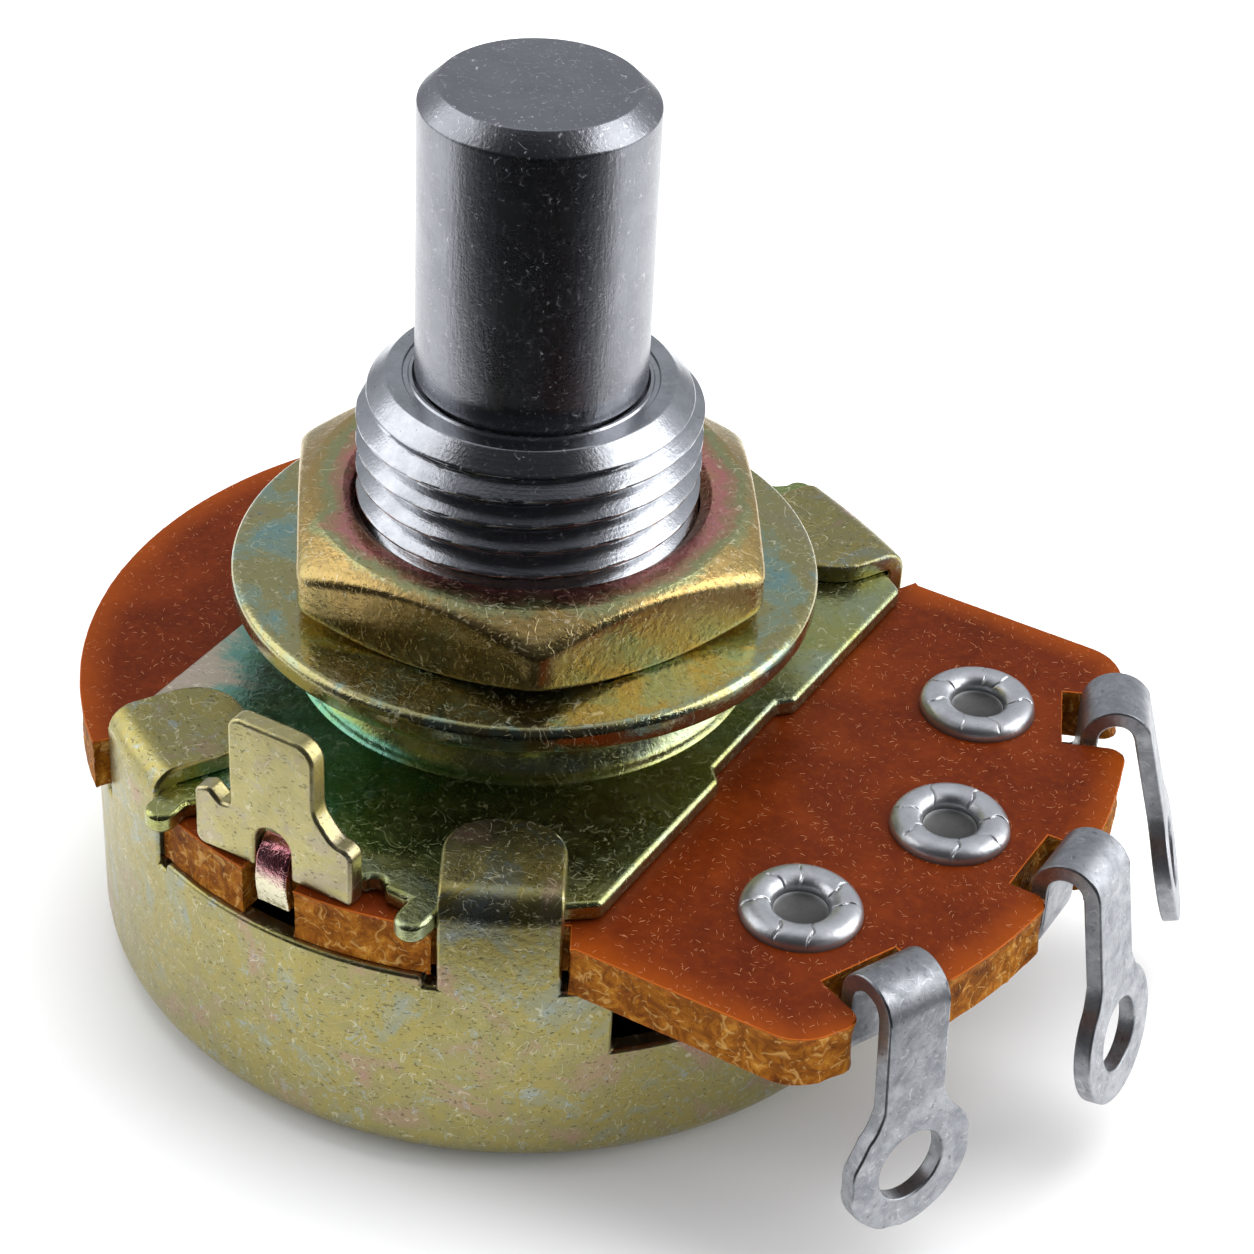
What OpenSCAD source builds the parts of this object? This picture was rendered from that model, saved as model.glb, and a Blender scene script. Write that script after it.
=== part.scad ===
// Rotary potentiometer for panel mounting, with a plain round shaft, a threaded bushing,
// a jam nut and washer, and three solder lugs along one side of a laminate wafer.
// The back face of the case lies on Z = 0, the shaft points along +Z,
// the solder lugs point along +X and the locating lug of the cover plate stands at -Y.

/* [Shaft] */
// Diameter of the shaft where the knob goes
shaft_d = 6.35; // [5.8:0.05:6.6]
// Length of the shaft above the mouth of the bushing
shaft_exposed = 8.6; // [6:0.2:40]
// Chamfer on the end of the shaft
shaft_chamfer = 0.54; // [0.2:0.02:0.9]
// Running clearance all round between the shaft journal and the bushing
shaft_clear = 0.04; // [0.02:0.01:0.08]
// How much smaller in radius the journal is than the knob seat
journal_step = 0.2; // [0.16:0.01:0.3]

/* [Bushing] */
// Major diameter of the bushing thread
thread_d = 9.525; // [9:0.025:10.4]
// Length of the bushing above the boss of the cover plate
bushing_len = 6.67; // [5.4:0.05:12]
// Distance from one thread crest to the next
thread_pitch = 0.794; // [0.7:0.002:1]
// Depth of the thread from crest to root
thread_depth = 0.44; // [0.3:0.02:0.5]
// Height of the chamfer at the mouth of the bushing
mouth_chamfer_h = 0.45; // [0.2:0.05:0.8]
// Radial width of the chamfer at the mouth of the bushing
mouth_chamfer_w = 0.5; // [0.3:0.05:0.6]
// Depth of the shallow countersink round the shaft
mouth_sink = 0.2; // [0.1:0.05:0.5]
// Width of the staked shoulder below the boss roof
stake_w = 0.55; // [0.3:0.05:0.65]
// Height of the staked shoulder below the boss roof
stake_h = 0.4; // [0.3:0.05:0.5]
// Wall taken off the thread diameter for the neck that passes through the boss roof
neck_step = 0.5; // [0.3:0.05:0.7]

/* [Nut and washer] */
// Width of the nut across its flats
nut_af = 12.7; // [12:0.1:14]
// Height of the nut
nut_h = 2.34; // [1.8:0.02:2.8]
// Angle of the first corner of the nut from +X
nut_angle = 4.4; // [0:0.2:59]
// Drop of the bevel from the flat ring to the corners of the nut
nut_bevel = 0.62; // [0.3:0.02:0.8]
// Radial clearance between the nut bore and the thread crests
nut_clear = 0.04; // [0.02:0.01:0.1]
// Width of the countersink on both ends of the nut bore
nut_sink = 0.27; // [0.1:0.01:0.4]
// Diameter of the washer
washer_d = 16.5; // [15:0.1:18]
// Thickness of the washer
washer_t = 0.73; // [0.5:0.01:0.9]
// Radial clearance between the washer hole and the thread crests
washer_clear = 0.2; // [0.1:0.05:0.4]
// Rounding of the upper rim of the washer
washer_round = 0.28; // [0.1:0.02:0.4]

/* [Cover plate] */
// Sheet thickness of the cover plate
plate_t = 0.6; // [0.5:0.01:0.8]
// Distance from the shaft axis to the terminal edge of the plate
plate_front = 7.8; // [7.6:0.1:8.4]
// Distance from the shaft axis to the rear edge of the plate
plate_rear = 7.25; // [6.9:0.05:7.8]
// Depth of the shallow step in the terminal edge
edge_step = 0.4; // [0.2:0.05:0.6]
// How far the corners of the terminal edge are trimmed in from the wall of the case
corner_trim = 0.6; // [0.3:0.05:0.8]
// Diameter of the embossed boss at its foot
boss_d = 12.96; // [12.6:0.02:13.5]
// Height of the embossed boss above the plate
boss_h = 2.37; // [2.1:0.01:2.8]
// Rounding of the upper rim of the boss
boss_round = 0.6; // [0.3:0.05:0.8]
// Radius of the rounded ears at both ends of the plate
ear_r = 0.45; // [0.3:0.05:0.5]
// Gap between an ear and the tab beside it
ear_gap = 0.18; // [0.1:0.01:0.3]

/* [Locating lug] */
// Sheet thickness of the lug
lug_t = 0.6; // [0.5:0.02:0.7]
// Width of the upper blade of the lug
lug_w = 2.7; // [2:0.1:3.2]
// Angle that the shoulders of the lug take up on the wall of the case
lug_foot_arc = 23.65; // [21:0.05:25]
// Height of the lug above the top of the plate
lug_h = 4.05; // [3:0.05:5]
// Height of the shoulders above the top of the plate
lug_shoulder_h = 1.15; // [0.8:0.05:1.4]
// Sideways offset of the lug from the middle of the plate
lug_x = -0.35; // [-0.5:0.05:0.5]
// Outer rounding of the bend between the lug and the plate
lug_bend = 0.5; // [0.3:0.05:0.55]
// Width of the tongue that drops into the wafer notch
tongue_w = 1.1; // [0.8:0.05:1.4]
// Height of the middle of the window over the tongue above the top of the plate
window_rise = 0.28; // [0.1:0.02:0.4]
// Thickness of the tongue
tongue_t = 0.42; // [0.3:0.02:0.5]

/* [Case] */
// Outer diameter of the case
case_d = 24.4; // [24:0.1:25]
// Height of the case up to its rim
case_h = 6.72; // [6.4:0.02:8.4]
// Sheet thickness of the case
case_t = 0.6; // [0.5:0.05:0.7]
// Outer rounding between the back and the wall of the case
case_round = 1.1; // [0.8:0.05:1.6]
// Angle of the two folded tabs on the lug side from the middle line of the plate
tab_angle = 29.5; // [28:0.5:31]
// Angle of the two folded tabs on the side away from the lug
tab_far_angle = 26.8; // [26:0.2:31]
// Angle that each of the two tabs on the lug side takes up on the wall
tab_arc = 15.55; // [13:0.05:17]
// Angle that each of the two tabs on the side away from the lug takes up on the wall
tab_far_arc = 20.85; // [16:0.05:21]
// How far the folded tabs reach over the plate from the wall of the case
tab_reach = 3.5; // [2.8:0.05:3.8]
// Angle from the middle of the terminal side to each end of the window
window_angle = 46; // [41:0.5:47]
// Height of the lower edge of the window above the back
window_z = 4.2; // [3.6:0.1:5.4]

/* [Wafer] */
// Thickness of the wafer
wafer_t = 1.6; // [1.4:0.05:1.8]
// How far the round part of the wafer stands out past the case
wafer_over = 0.43; // [0.35:0.01:0.6]
// Half width of the terminal board
board_half = 9.9; // [9.6:0.05:10.4]
// Gap inside the notch behind the rise of a terminal
notch_in = 0.5; // [0.1:0.05:0.7]
// Gap on each side of a terminal in its notch
notch_side = 0.2; // [0.05:0.05:0.3]
// Distance from the outer eyelets to the round edge of the terminal board
board_reach = 4.3; // [4.1:0.1:5]
// Corner rounding of the terminal board
board_corner = 1.4; // [0.8:0.1:1.8]
// Diameter of the hole in the middle of the wafer
wafer_hole_d = 8.4; // [8:0.1:9]

/* [Terminals and eyelets] */
// Angle between neighbouring terminals
term_angle = 24; // [22:0.5:26]
// Width of the terminal strips
term_w = 2.0; // [1.6:0.05:2.2]
// Sheet thickness of the terminals
term_t = 0.5; // [0.4:0.02:0.6]
// Outer radius of the arch that each terminal makes over the board edge
arch_r = 1.0; // [0.9:0.05:1.2]
// Outer radius of the solder ring
ring_r = 2.0; // [1.8:0.05:2.2]
// Diameter of the solder hole
ring_hole_d = 2.1; // [1.6:0.05:2.4]
// Length of the leg from the arch to the centre of the solder hole
leg_len = 4.95; // [4:0.05:5.2]
// Radius of the eyelet positions of the two outer terminals
eyelet_side_r = 13.1; // [12.9:0.05:13.4]
// How much further out the middle eyelet stands than the outer two
eyelet_mid_out = 0.6; // [0.3:0.05:0.8]
// Distance from an outer eyelet to the foot of its arch
foot_reach = 2.95; // [2.8:0.05:3.1]
// How much shorter that distance is on the middle terminal
foot_short = 0.05; // [0:0.05:0.2]
// Outer radius of the flared head of an eyelet
eyelet_head_r = 1.65; // [1.4:0.05:1.8]
// Radius of the hollow in an eyelet
eyelet_bore_r = 0.75; // [0.6:0.05:0.9]
// Depth of the hollow below the crown of the head
eyelet_depth = 0.55; // [0.3:0.05:1]
// Wall of the eyelet barrel
eyelet_wall = 0.3; // [0.15:0.05:0.35]

/* [Rotor] */
// Gap between the moulded rotor and the wall of the case
rotor_gap = 1.2; // [0.8:0.1:1.8]
// Distance from the top of the rotor to the wafer
rotor_drop = 1.4; // [1.2:0.05:1.6]
// Thickness of the rotor disc
rotor_disc_t = 1.2; // [0.8:0.1:1.6]
// Distance from the middle of the resistive track to the rim of the rotor
track_inset = 1.0; // [0.9:0.1:1.4]
// Width of the resistive track
track_w = 1.8; // [1.2:0.1:2]
// Thickness of the printed layers on the wafer
ink_t = 0.06; // [0.04:0.01:0.1]
// Angle that the shaft turns to each side of its middle
half_turn = 150; // [140:1:150]

/* [Hidden] */
$fn = 96;
eps = 0.01;

shaft_r = shaft_d / 2;
journal_r = shaft_r - journal_step;
bore_r = journal_r + shaft_clear;
thread_r = thread_d / 2;
root_r = thread_r - thread_depth;
neck_r = thread_r - neck_step;
case_r = case_d / 2;
case_in_r = case_r - case_t;
wafer_r = case_r + wafer_over;
tab_w = case_d * sin(tab_arc / 2);
tab_far_w = case_d * sin(tab_far_arc / 2);
lug_foot_w = case_d * sin(lug_foot_arc / 2);
window_half = case_r * sin(window_angle);
eyelet_mid_r = eyelet_side_r + eyelet_mid_out;
board_r = eyelet_side_r + board_reach;
rotor_r = case_in_r - rotor_gap;
track_r = rotor_r - track_inset;
boss_r = boss_d / 2;
boss_in_r = boss_r - plate_t;

// Heights of the stack, from the back of the case upwards
wafer_z = case_h;
plate_z = wafer_z + wafer_t;
plate_top = plate_z + plate_t;
boss_top = plate_top + boss_h;
boss_roof = boss_top - plate_t;
mouth_z = boss_top + bushing_len;
shaft_top = mouth_z + shaft_exposed;
nut_z = boss_top + washer_t;
// Highest thread crest, and how many more there are below it
crest_z = mouth_z - 0.96;
crests = floor((crest_z - boss_top - thread_pitch / 2) / thread_pitch);

// The wall of the case ends and the plate edges keep this much clear of each other
fold_clear = 0.05;
// Trimmed radius of the wafer and the plate between the tabs at both ends
end_r = case_r - 0.15;
// Where the folded tabs start inside the wall
tab_cut_r = case_in_r - fold_clear;

// Terminals 1 to 3: angle, foot of the arch, outward lean of the leg
arch_foot = [eyelet_side_r + foot_reach, eyelet_mid_r + foot_reach - foot_short, eyelet_side_r + foot_reach];
leg_lean = [4, 9.5, 15];
tail_z = wafer_z - term_t;

// Inside the boss: friction washer, retaining ring and stop washer on the shaft
stack_gap = 0.08;
friction_t = 0.25;
clip_t = 0.45;
stop_t = 0.5;
friction_z = boss_roof - stake_h - stack_gap - friction_t;
clip_z = friction_z - stack_gap - clip_t;
stop_z = clip_z - stack_gap - stop_t;
clip_groove_r = journal_r - 0.6;
stop_in_r = thread_r - neck_step + stake_w + 0.2;
// Half width of the stop and of its arm, so that they meet just past the half turn
stop_half_w = stop_in_r * sin((180 - half_turn) / 2) - 0.08;
stop_out_r = boss_in_r - 0.15;
key_flat = 2.2;

// Rotor, wiper and printed layers below the wafer
print_z = wafer_z - ink_t;
wiper_gap = 0.05;
rotor_top = wafer_z - rotor_drop;
rotor_z = rotor_top - rotor_disc_t;
hub_r = shaft_r * 1.41;
hub_z = 2.2;
collector_r = 5.6;
collector_w = 1.2;
wiper_t = 0.2;
wiper_half = track_r * 0.234;
finger_x = wiper_half * 0.59;

function eyelet_r(n) = n == 1 ? eyelet_mid_r : eyelet_side_r;
function term_at(n) = (n - 1) * term_angle;
// Angles of the four tabs, with the width of each
function tab_list() = [
    [-90 + tab_angle, tab_w], [-90 - tab_angle, tab_w],
    [90 - tab_far_angle, tab_far_w], [90 + tab_far_angle, tab_far_w]];

// A sector of a circle between two angles that lie less than 180 degrees apart
module sector(r, from, to) {
    mid = (from + to) / 2;
    far = 2 * r;
    intersection() {
        circle(r);
        polygon([[0, 0], far * [cos(from), sin(from)], far * [cos(mid), sin(mid)], far * [cos(to), sin(to)]]);
    }
}

// A rectangle with two rounded corners at its +X end
module round_end(length, width, r) {
    translate([0, -width / 2]) square([length - r, width]);
    translate([0, -width / 2 + r]) square([length, width - 2 * r]);
    for (side = [-1, 1]) translate([length - r, side * (width / 2 - r)]) circle(r);
}

// Rectangles in plan at the four tabs, outside the radius r
module tab_places(r, extra) {
    for (tab = tab_list())
        rotate(tab[0]) translate([r, -tab[1] / 2 - extra]) square([4, tab[1] + 2 * extra]);
}

// Outline of the cup of the case as a solid of revolution, grown inwards by t
module case_form(t) {
    r = case_r - t;
    round_r = case_round - t;
    rotate_extrude() {
        translate([0, t]) square([r - round_r, case_h]);
        translate([0, t + round_r]) square([r, case_h - round_r]);
        intersection() {
            translate([r - round_r, t + round_r]) circle(round_r);
            translate([0, t]) square([r, case_h]);
        }
    }
}

// One tab of the case, folded over the plate towards the shaft
module case_tab(width) {
    bend = 0.25;
    top = plate_top + case_t;
    reach = case_r - tab_reach;
    intersection() {
        union() {
            translate([case_in_r, -width / 2, window_z]) cube([case_t, width, plate_top - bend - window_z]);
            translate([case_in_r - bend, width / 2, plate_top - bend]) rotate([90, 0, 0])
                linear_extrude(width) intersection() {
                    difference() {
                        circle(bend + case_t);
                        circle(bend);
                    }
                    square(bend + case_t);
                }
            translate([case_in_r - bend, 0, plate_top]) mirror([1, 0, 0])
                linear_extrude(case_t) round_end(case_in_r - bend - reach, width, width * 0.42);
        }
        cylinder(r = case_r, h = top + 1);
    }
}

module rear_case() {
    color("#b3aa6a") {
        difference() {
            case_form(0);
            case_form(case_t);
            translate([0, 0, case_h]) cylinder(r = case_r + 1, h = case_h);
            translate([case_r / 2, -window_half, window_z]) cube([case_r, 2 * window_half, case_h]);
        }
        for (tab = tab_list()) rotate(tab[0]) case_tab(tab[1]);
    }
}

// Plan of the cover plate without the boss
module plate_plan() {
    lug_ear_x = ear_x(tab_angle, tab_w);
    far_ear_x = ear_x(tab_far_angle, tab_far_w);
    lug_end_x = lug_ear_x - ear_r;
    far_end_x = far_ear_x - ear_r - 0.3;
    difference() {
        union() {
            intersection() {
                circle(end_r);
                translate([-plate_rear, -case_r]) square([plate_rear + plate_front, case_d]);
            }
            for (side = [-1, 1]) {
                translate([side * lug_ear_x, -ear_y()]) circle(ear_r);
                translate([side * far_ear_x, ear_y()]) circle(ear_r);
            }
        }
        tab_places(tab_cut_r, 0.1);
        // Trimmed corners of the terminal edge
        difference() {
            translate([plate_front - 1.2, -case_r]) square([2, case_d]);
            circle(case_r - corner_trim);
        }
        // Shallow step in the terminal edge
        translate([plate_front - edge_step, 0])
            polygon([[0, -1.95], [edge_step + 1, -2.95 - edge_step], [edge_step + 1, 2.65 + edge_step], [0, 1.65]]);
        // Straight end between the ears where the lug bends up, with a round relief on each side of the lug
        translate([-lug_end_x, -case_r - 1]) square([2 * lug_end_x, case_r + 1 - lug_fold_y()]);
        for (side = [-1, 1])
            translate([lug_x + side * (lug_foot_w / 2 + 0.3), -lug_fold_y()]) circle(0.32);
        // Straight end between the two ears on the far side
        translate([-far_end_x, lug_fold_y() + 0.3]) square([2 * far_end_x, 2]);
    }
}

function lug_fold_y() = case_r - 1.05;
function ear_y() = case_r - ear_r - 0.05;
// Where an ear stands beside a tab at the given angle and of the given width
function ear_x(angle, width) = (ear_y() * sin(angle) - width / 2 - ear_gap - ear_r) / cos(angle);

// Face of the locating lug, drawn with X across and Y up from the top of the plate
module lug_face() {
    slope = 0.45;
    blade_r = 0.45;
    half = lug_w / 2;
    foot = lug_foot_w / 2;
    difference() {
        union() {
            translate([-foot, -plate_t]) square([lug_foot_w, plate_t + lug_shoulder_h - 0.3]);
            translate([-foot + 0.3, -plate_t]) square([lug_foot_w - 0.6, plate_t + lug_shoulder_h]);
            for (side = [-1, 1]) translate([side * (foot - 0.3), lug_shoulder_h - 0.3]) circle(0.3);
            translate([-half, 0]) square([lug_w, lug_h - blade_r]);
            translate([-half + blade_r, 0]) square([lug_w - 2 * blade_r, lug_h]);
            for (side = [-1, 1]) translate([side * (half - blade_r), lug_h - blade_r]) circle(blade_r);
            polygon([[-half - slope, lug_shoulder_h], [-half, lug_shoulder_h + slope],
                [half, lug_shoulder_h + slope], [half + slope, lug_shoulder_h]]);
        }
        // Window left by the tongue
        translate([-tongue_w / 2, -plate_t - 1]) square([tongue_w, plate_t + 1 + window_rise]);
        translate([0, window_rise]) circle(tongue_w / 2);
    }
}

module front_plate() {
    fold = lug_fold_y();
    color("#8f9160") {
        difference() {
            union() {
                translate([0, 0, plate_z]) linear_extrude(plate_t) plate_plan();
                // Boss with a rounded rim
                rotate_extrude() {
                    translate([0, plate_z]) square([boss_r, boss_h + plate_t - boss_round]);
                    translate([0, plate_z]) square([boss_r - boss_round, boss_h + plate_t]);
                    translate([boss_r - boss_round, boss_top - boss_round]) circle(boss_round);
                }
            }
            translate([0, 0, plate_z - 1]) cylinder(r = boss_in_r, h = boss_roof - plate_z + 1);
            cylinder(r = neck_r + 0.02, h = boss_top + 1);
        }
        // Lug bent up from the end of the plate, round on the outside of its bend
        difference() {
            translate([lug_x, -fold, plate_top]) rotate([90, 0, 0]) linear_extrude(lug_t) lug_face();
            translate([lug_x - lug_foot_w, -fold - lug_t, plate_z]) rotate([90, 0, 90])
                linear_extrude(2 * lug_foot_w) difference() {
                    translate([-1, -1]) square([1 + lug_bend, 1 + lug_bend]);
                    translate([lug_bend, lug_bend]) circle(lug_bend);
                }
        }
        // Tongue that bends down from the end of the plate into the notch of the wafer
        translate([lug_x - tongue_w / 2, -fold, plate_top - lug_t]) rotate([90, 0, 90]) linear_extrude(tongue_w) {
            intersection() {
                difference() {
                    circle(lug_t);
                    circle(lug_t - tongue_t);
                }
                translate([-lug_t, 0]) square([lug_t, lug_t]);
            }
            translate([-lug_t, -(plate_top - lug_t) + wafer_z - 0.15])
                square([tongue_t, plate_top - lug_t - wafer_z + 0.15]);
            translate([0, lug_t - tongue_t]) square([0.3, tongue_t]);
        }
        // Stop lanced down from the roof of the boss
        translate([-stop_half_w, -stop_out_r, stop_z - 0.1])
            cube([2 * stop_half_w, stop_out_r - stop_in_r, boss_roof - stop_z + 0.2]);
    }
}

module bushing() {
    collar_r = thread_r - 0.3;
    crest_half = 0.06;
    // The thread is drawn as a stack of ridges, one pitch apart
    ridges = [for (k = [crests:-1:0]) let (z = crest_z - k * thread_pitch)
        each [[root_r, z - thread_pitch / 2], [thread_r, z - crest_half], [thread_r, z + crest_half]]];
    color("#c4c6ca") rotate_extrude() polygon(concat([
        [bore_r, boss_roof - stake_h], [neck_r + stake_w, boss_roof - stake_h],
        [neck_r + stake_w, boss_roof], [neck_r, boss_roof], [neck_r, boss_top],
        [thread_r, boss_top], [thread_r, boss_top + 0.2]], ridges, [
        [root_r, crest_z + thread_pitch / 2], [collar_r, mouth_z - mouth_chamfer_h - 0.06],
        [collar_r, mouth_z - mouth_chamfer_h], [collar_r - mouth_chamfer_w, mouth_z],
        [bore_r + mouth_sink, mouth_z], [bore_r, mouth_z - mouth_sink]]));
}

module shaft() {
    seat_z = mouth_z + 0.05;
    color("#6e7074") difference() {
        rotate_extrude() polygon([
            [0, hub_z - 0.4], [journal_r - 0.5, hub_z - 0.4], [journal_r - 0.2, hub_z - 0.1],
            [journal_r - 0.2, stop_z + stop_t + stack_gap / 2], [journal_r, stop_z + stop_t + stack_gap / 2],
            [journal_r, clip_z - 0.03], [clip_groove_r, clip_z - 0.03],
            [clip_groove_r, clip_z + clip_t + 0.03], [journal_r, clip_z + clip_t + 0.03],
            [journal_r, seat_z], [shaft_r, seat_z], [shaft_r, shaft_top - shaft_chamfer],
            [shaft_r - shaft_chamfer, shaft_top], [0, shaft_top]]);
        // Two flats that drive the rotor and the stop washer
        for (side = [-1, 1])
            translate([-shaft_r, side < 0 ? -shaft_r - 1 : key_flat, hub_z - 1])
                cube([shaft_d, shaft_r + 1 - key_flat, stop_z + stop_t + stack_gap / 2 - hub_z + 1]);
    }
}

// Hole for the flatted end of the shaft, with its clearance
module key_hole() {
    intersection() {
        circle(journal_r - 0.2 + 0.02);
        square([shaft_d + 1, 2 * key_flat + 0.04], center = true);
    }
}

module hex_nut() {
    flat_r = nut_af / 2 - 0.25;
    corner_r = nut_af / 2 / cos(30);
    hole_r = thread_r + nut_clear;
    // The bevel runs on past the corners
    bevel_slope = nut_bevel / (corner_r - flat_r);
    past = corner_r - flat_r + 0.3;
    color("#b0954a") translate([0, 0, nut_z]) difference() {
        intersection() {
            rotate(nut_angle) cylinder(r = corner_r, h = nut_h, $fn = 6);
            rotate_extrude() polygon([[0, 0], [flat_r, 0], [flat_r + past, bevel_slope * past],
                [flat_r + past, nut_h - bevel_slope * past], [flat_r, nut_h], [0, nut_h]]);
        }
        rotate_extrude() polygon([[0, -1], [hole_r + nut_sink + 1, -1], [hole_r, nut_sink], [hole_r, nut_h - nut_sink],
            [hole_r + nut_sink + 1, nut_h + 1], [0, nut_h + 1]]);
    }
}

module flat_washer() {
    outer = washer_d / 2;
    hole_r = thread_r + washer_clear;
    color("#9c9350") translate([0, 0, boss_top]) rotate_extrude() difference() {
        union() {
            square([outer, washer_t - washer_round]);
            square([outer - washer_round, washer_t]);
            translate([outer - washer_round, washer_t - washer_round]) circle(washer_round);
        }
        translate([0, -1]) square([hole_r, washer_t + 2]);
        translate([0, -1]) square([outer + 1, 1]);
    }
}

// Plan of the wafer: a disc with the terminal board on one side
module wafer_plan() {
    corner_y = board_half - board_corner;
    corner_x = sqrt((board_r - board_corner) * (board_r - board_corner) - corner_y * corner_y);
    at = atan2(corner_y, corner_x);
    difference() {
        union() {
            circle(wafer_r);
            intersection() {
                circle(board_r);
                translate([0, -board_half]) square([corner_x, 2 * board_half]);
            }
            sector(board_r, -at, at);
            for (side = [-1, 1]) translate([corner_x, side * corner_y]) circle(board_corner);
        }
        circle(wafer_hole_d / 2);
        // Edge trimmed flush with the case between the tabs
        difference() {
            for (far = [-1, 1])
                translate([-case_r / 2, far > 0 ? case_r - 2 : -case_r - 2]) square([case_r, 4]);
            circle(end_r);
        }
        tab_places(tab_cut_r, 0.12);
        // Notch for the tongue of the lug
        translate([lug_x - tongue_w / 2 - 0.25, -case_r - 1]) square([tongue_w + 0.5, 1 + case_r - lug_fold_y() + 0.4]);
        for (n = [0:2]) rotate(term_at(n)) {
            translate([arch_foot[n] - notch_in, -term_w / 2 - notch_side])
                square([4, term_w + 2 * notch_side]);
            translate([eyelet_r(n), 0]) circle(eyelet_bore_r + eyelet_wall);
        }
    }
}

module wafer() {
    color("#7c2d12") translate([0, 0, wafer_z]) linear_extrude(wafer_t) wafer_plan();
}

// One terminal: a tail below the board, a rise through its notch, an arch and a leg with a ring
module terminal(n) {
    foot = arch_foot[n];
    lean = leg_lean[n];
    top_z = plate_z + 0.05;
    inner = arch_r - term_t;
    color("#a3a6aa") rotate(term_at(n)) {
        // Tail below the board, round its eyelet
        difference() {
            translate([0, 0, tail_z]) linear_extrude(term_t) union() {
                translate([eyelet_r(n), 0]) circle(term_w * 0.72);
                translate([eyelet_r(n), -term_w / 2]) square([foot + term_t - eyelet_r(n), term_w]);
            }
            translate([eyelet_r(n), 0, tail_z - 1]) cylinder(r = eyelet_bore_r + eyelet_wall, h = term_t + 2);
        }
        translate([foot, -term_w / 2, tail_z]) cube([term_t, term_w, top_z - tail_z]);
        // Arch over the edge of the board
        translate([foot + arch_r, term_w / 2, top_z]) rotate([90, 0, 0]) linear_extrude(term_w)
            intersection() {
                difference() {
                    circle(arch_r);
                    circle(inner);
                }
                union() {
                    translate([-2, 0]) square([4, 2]);
                    polygon([[0, 0], [4, 0], [4, 4], [0, 4]]);
                    rotate(lean) square(4);
                }
            }
        // Leg and solder ring, leaning outwards
        translate([foot + arch_r, 0, top_z]) rotate([0, -lean, 0]) translate([inner, 0, 0]) rotate([0, 90, 0])
            difference() {
                linear_extrude(term_t) union() {
                    translate([0, -term_w / 2]) square([leg_len, term_w]);
                    translate([leg_len, 0]) circle(ring_r);
                    translate([leg_len - ring_r * 0.95, 0])
                        polygon([[-0.35, -term_w / 2], [0.45, -term_w / 2 - 0.42], [0.45, term_w / 2 + 0.42], [-0.35, term_w / 2]]);
                }
                translate([leg_len, 0, -1]) cylinder(d = ring_hole_d, h = term_t + 2);
            }
    }
}

// Rolled head of an eyelet as points of radius and height above the board
head_h = 0.5;
function head_curve() = [for (a = [22.5:22.5:157.5])
    [(eyelet_head_r + eyelet_bore_r) / 2 + (eyelet_head_r - eyelet_bore_r) / 2 * cos(a),
        plate_z + head_h * sin(a)]];

module eyelet(n) {
    barrel = eyelet_bore_r + eyelet_wall;
    foot_z = tail_z - 0.25;
    floor_z = plate_z + head_h - eyelet_depth;
    color("#c6c9cd") rotate(term_at(n)) translate([eyelet_r(n), 0, 0]) rotate_extrude()
        polygon(concat([[0, foot_z], [barrel + 0.4, foot_z], [barrel + 0.4, tail_z],
            [barrel, tail_z], [barrel, plate_z], [eyelet_head_r, plate_z]],
            head_curve(), [[eyelet_bore_r, floor_z], [0, floor_z]]));
}

module terminal_1() { terminal(0); }
module terminal_2() { terminal(1); }
module terminal_3() { terminal(2); }
module eyelet_1() { eyelet(0); }
module eyelet_2() { eyelet(1); }
module eyelet_3() { eyelet(2); }

// Carbon track printed on the underside of the wafer, open towards the terminals
module resistive_track() {
    open = 26;
    color("#26221f") translate([0, 0, print_z]) linear_extrude(ink_t) difference() {
        circle(track_r + track_w / 2);
        circle(track_r - track_w / 2);
        sector(2 * track_r, -open, open);
    }
}

// Silver contact from an end of the track to its terminal
module track_contact(side) {
    color("#c9c4b4") translate([0, 0, print_z]) linear_extrude(ink_t) difference() {
        intersection() {
            difference() {
                circle(track_r + track_w / 2);
                circle(track_r - track_w / 2);
            }
            sector(2 * track_r, side < 0 ? -25.9 : 14, side < 0 ? -14 : 25.9);
        }
    }
}
module track_contact_1() { track_contact(-1); }
module track_contact_3() { track_contact(1); }

// Silver ring with a tongue towards the middle terminal
module collector_ring() {
    color("#cfcabc") translate([0, 0, print_z]) linear_extrude(ink_t) difference() {
        union() {
            circle(collector_r + collector_w / 2);
            translate([0, -0.8]) square([eyelet_mid_r - eyelet_bore_r * 2, 1.6]);
        }
        circle(collector_r - collector_w / 2);
    }
}

module rotor() {
    color("#2b2a29") difference() {
        union() {
            translate([0, 0, rotor_z]) cylinder(r = rotor_r, h = rotor_disc_t);
            translate([0, 0, hub_z]) cylinder(r = hub_r, h = rotor_top - hub_z);
            for (a = [0:60:300]) rotate(a)
                translate([hub_r - 0.5, -0.4, hub_z + 0.5]) cube([rotor_r - hub_r - 0.6, 0.8, rotor_z - hub_z]);
        }
        translate([0, 0, hub_z - 1]) linear_extrude(rotor_top - hub_z + 2) key_hole();
    }
}

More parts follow.
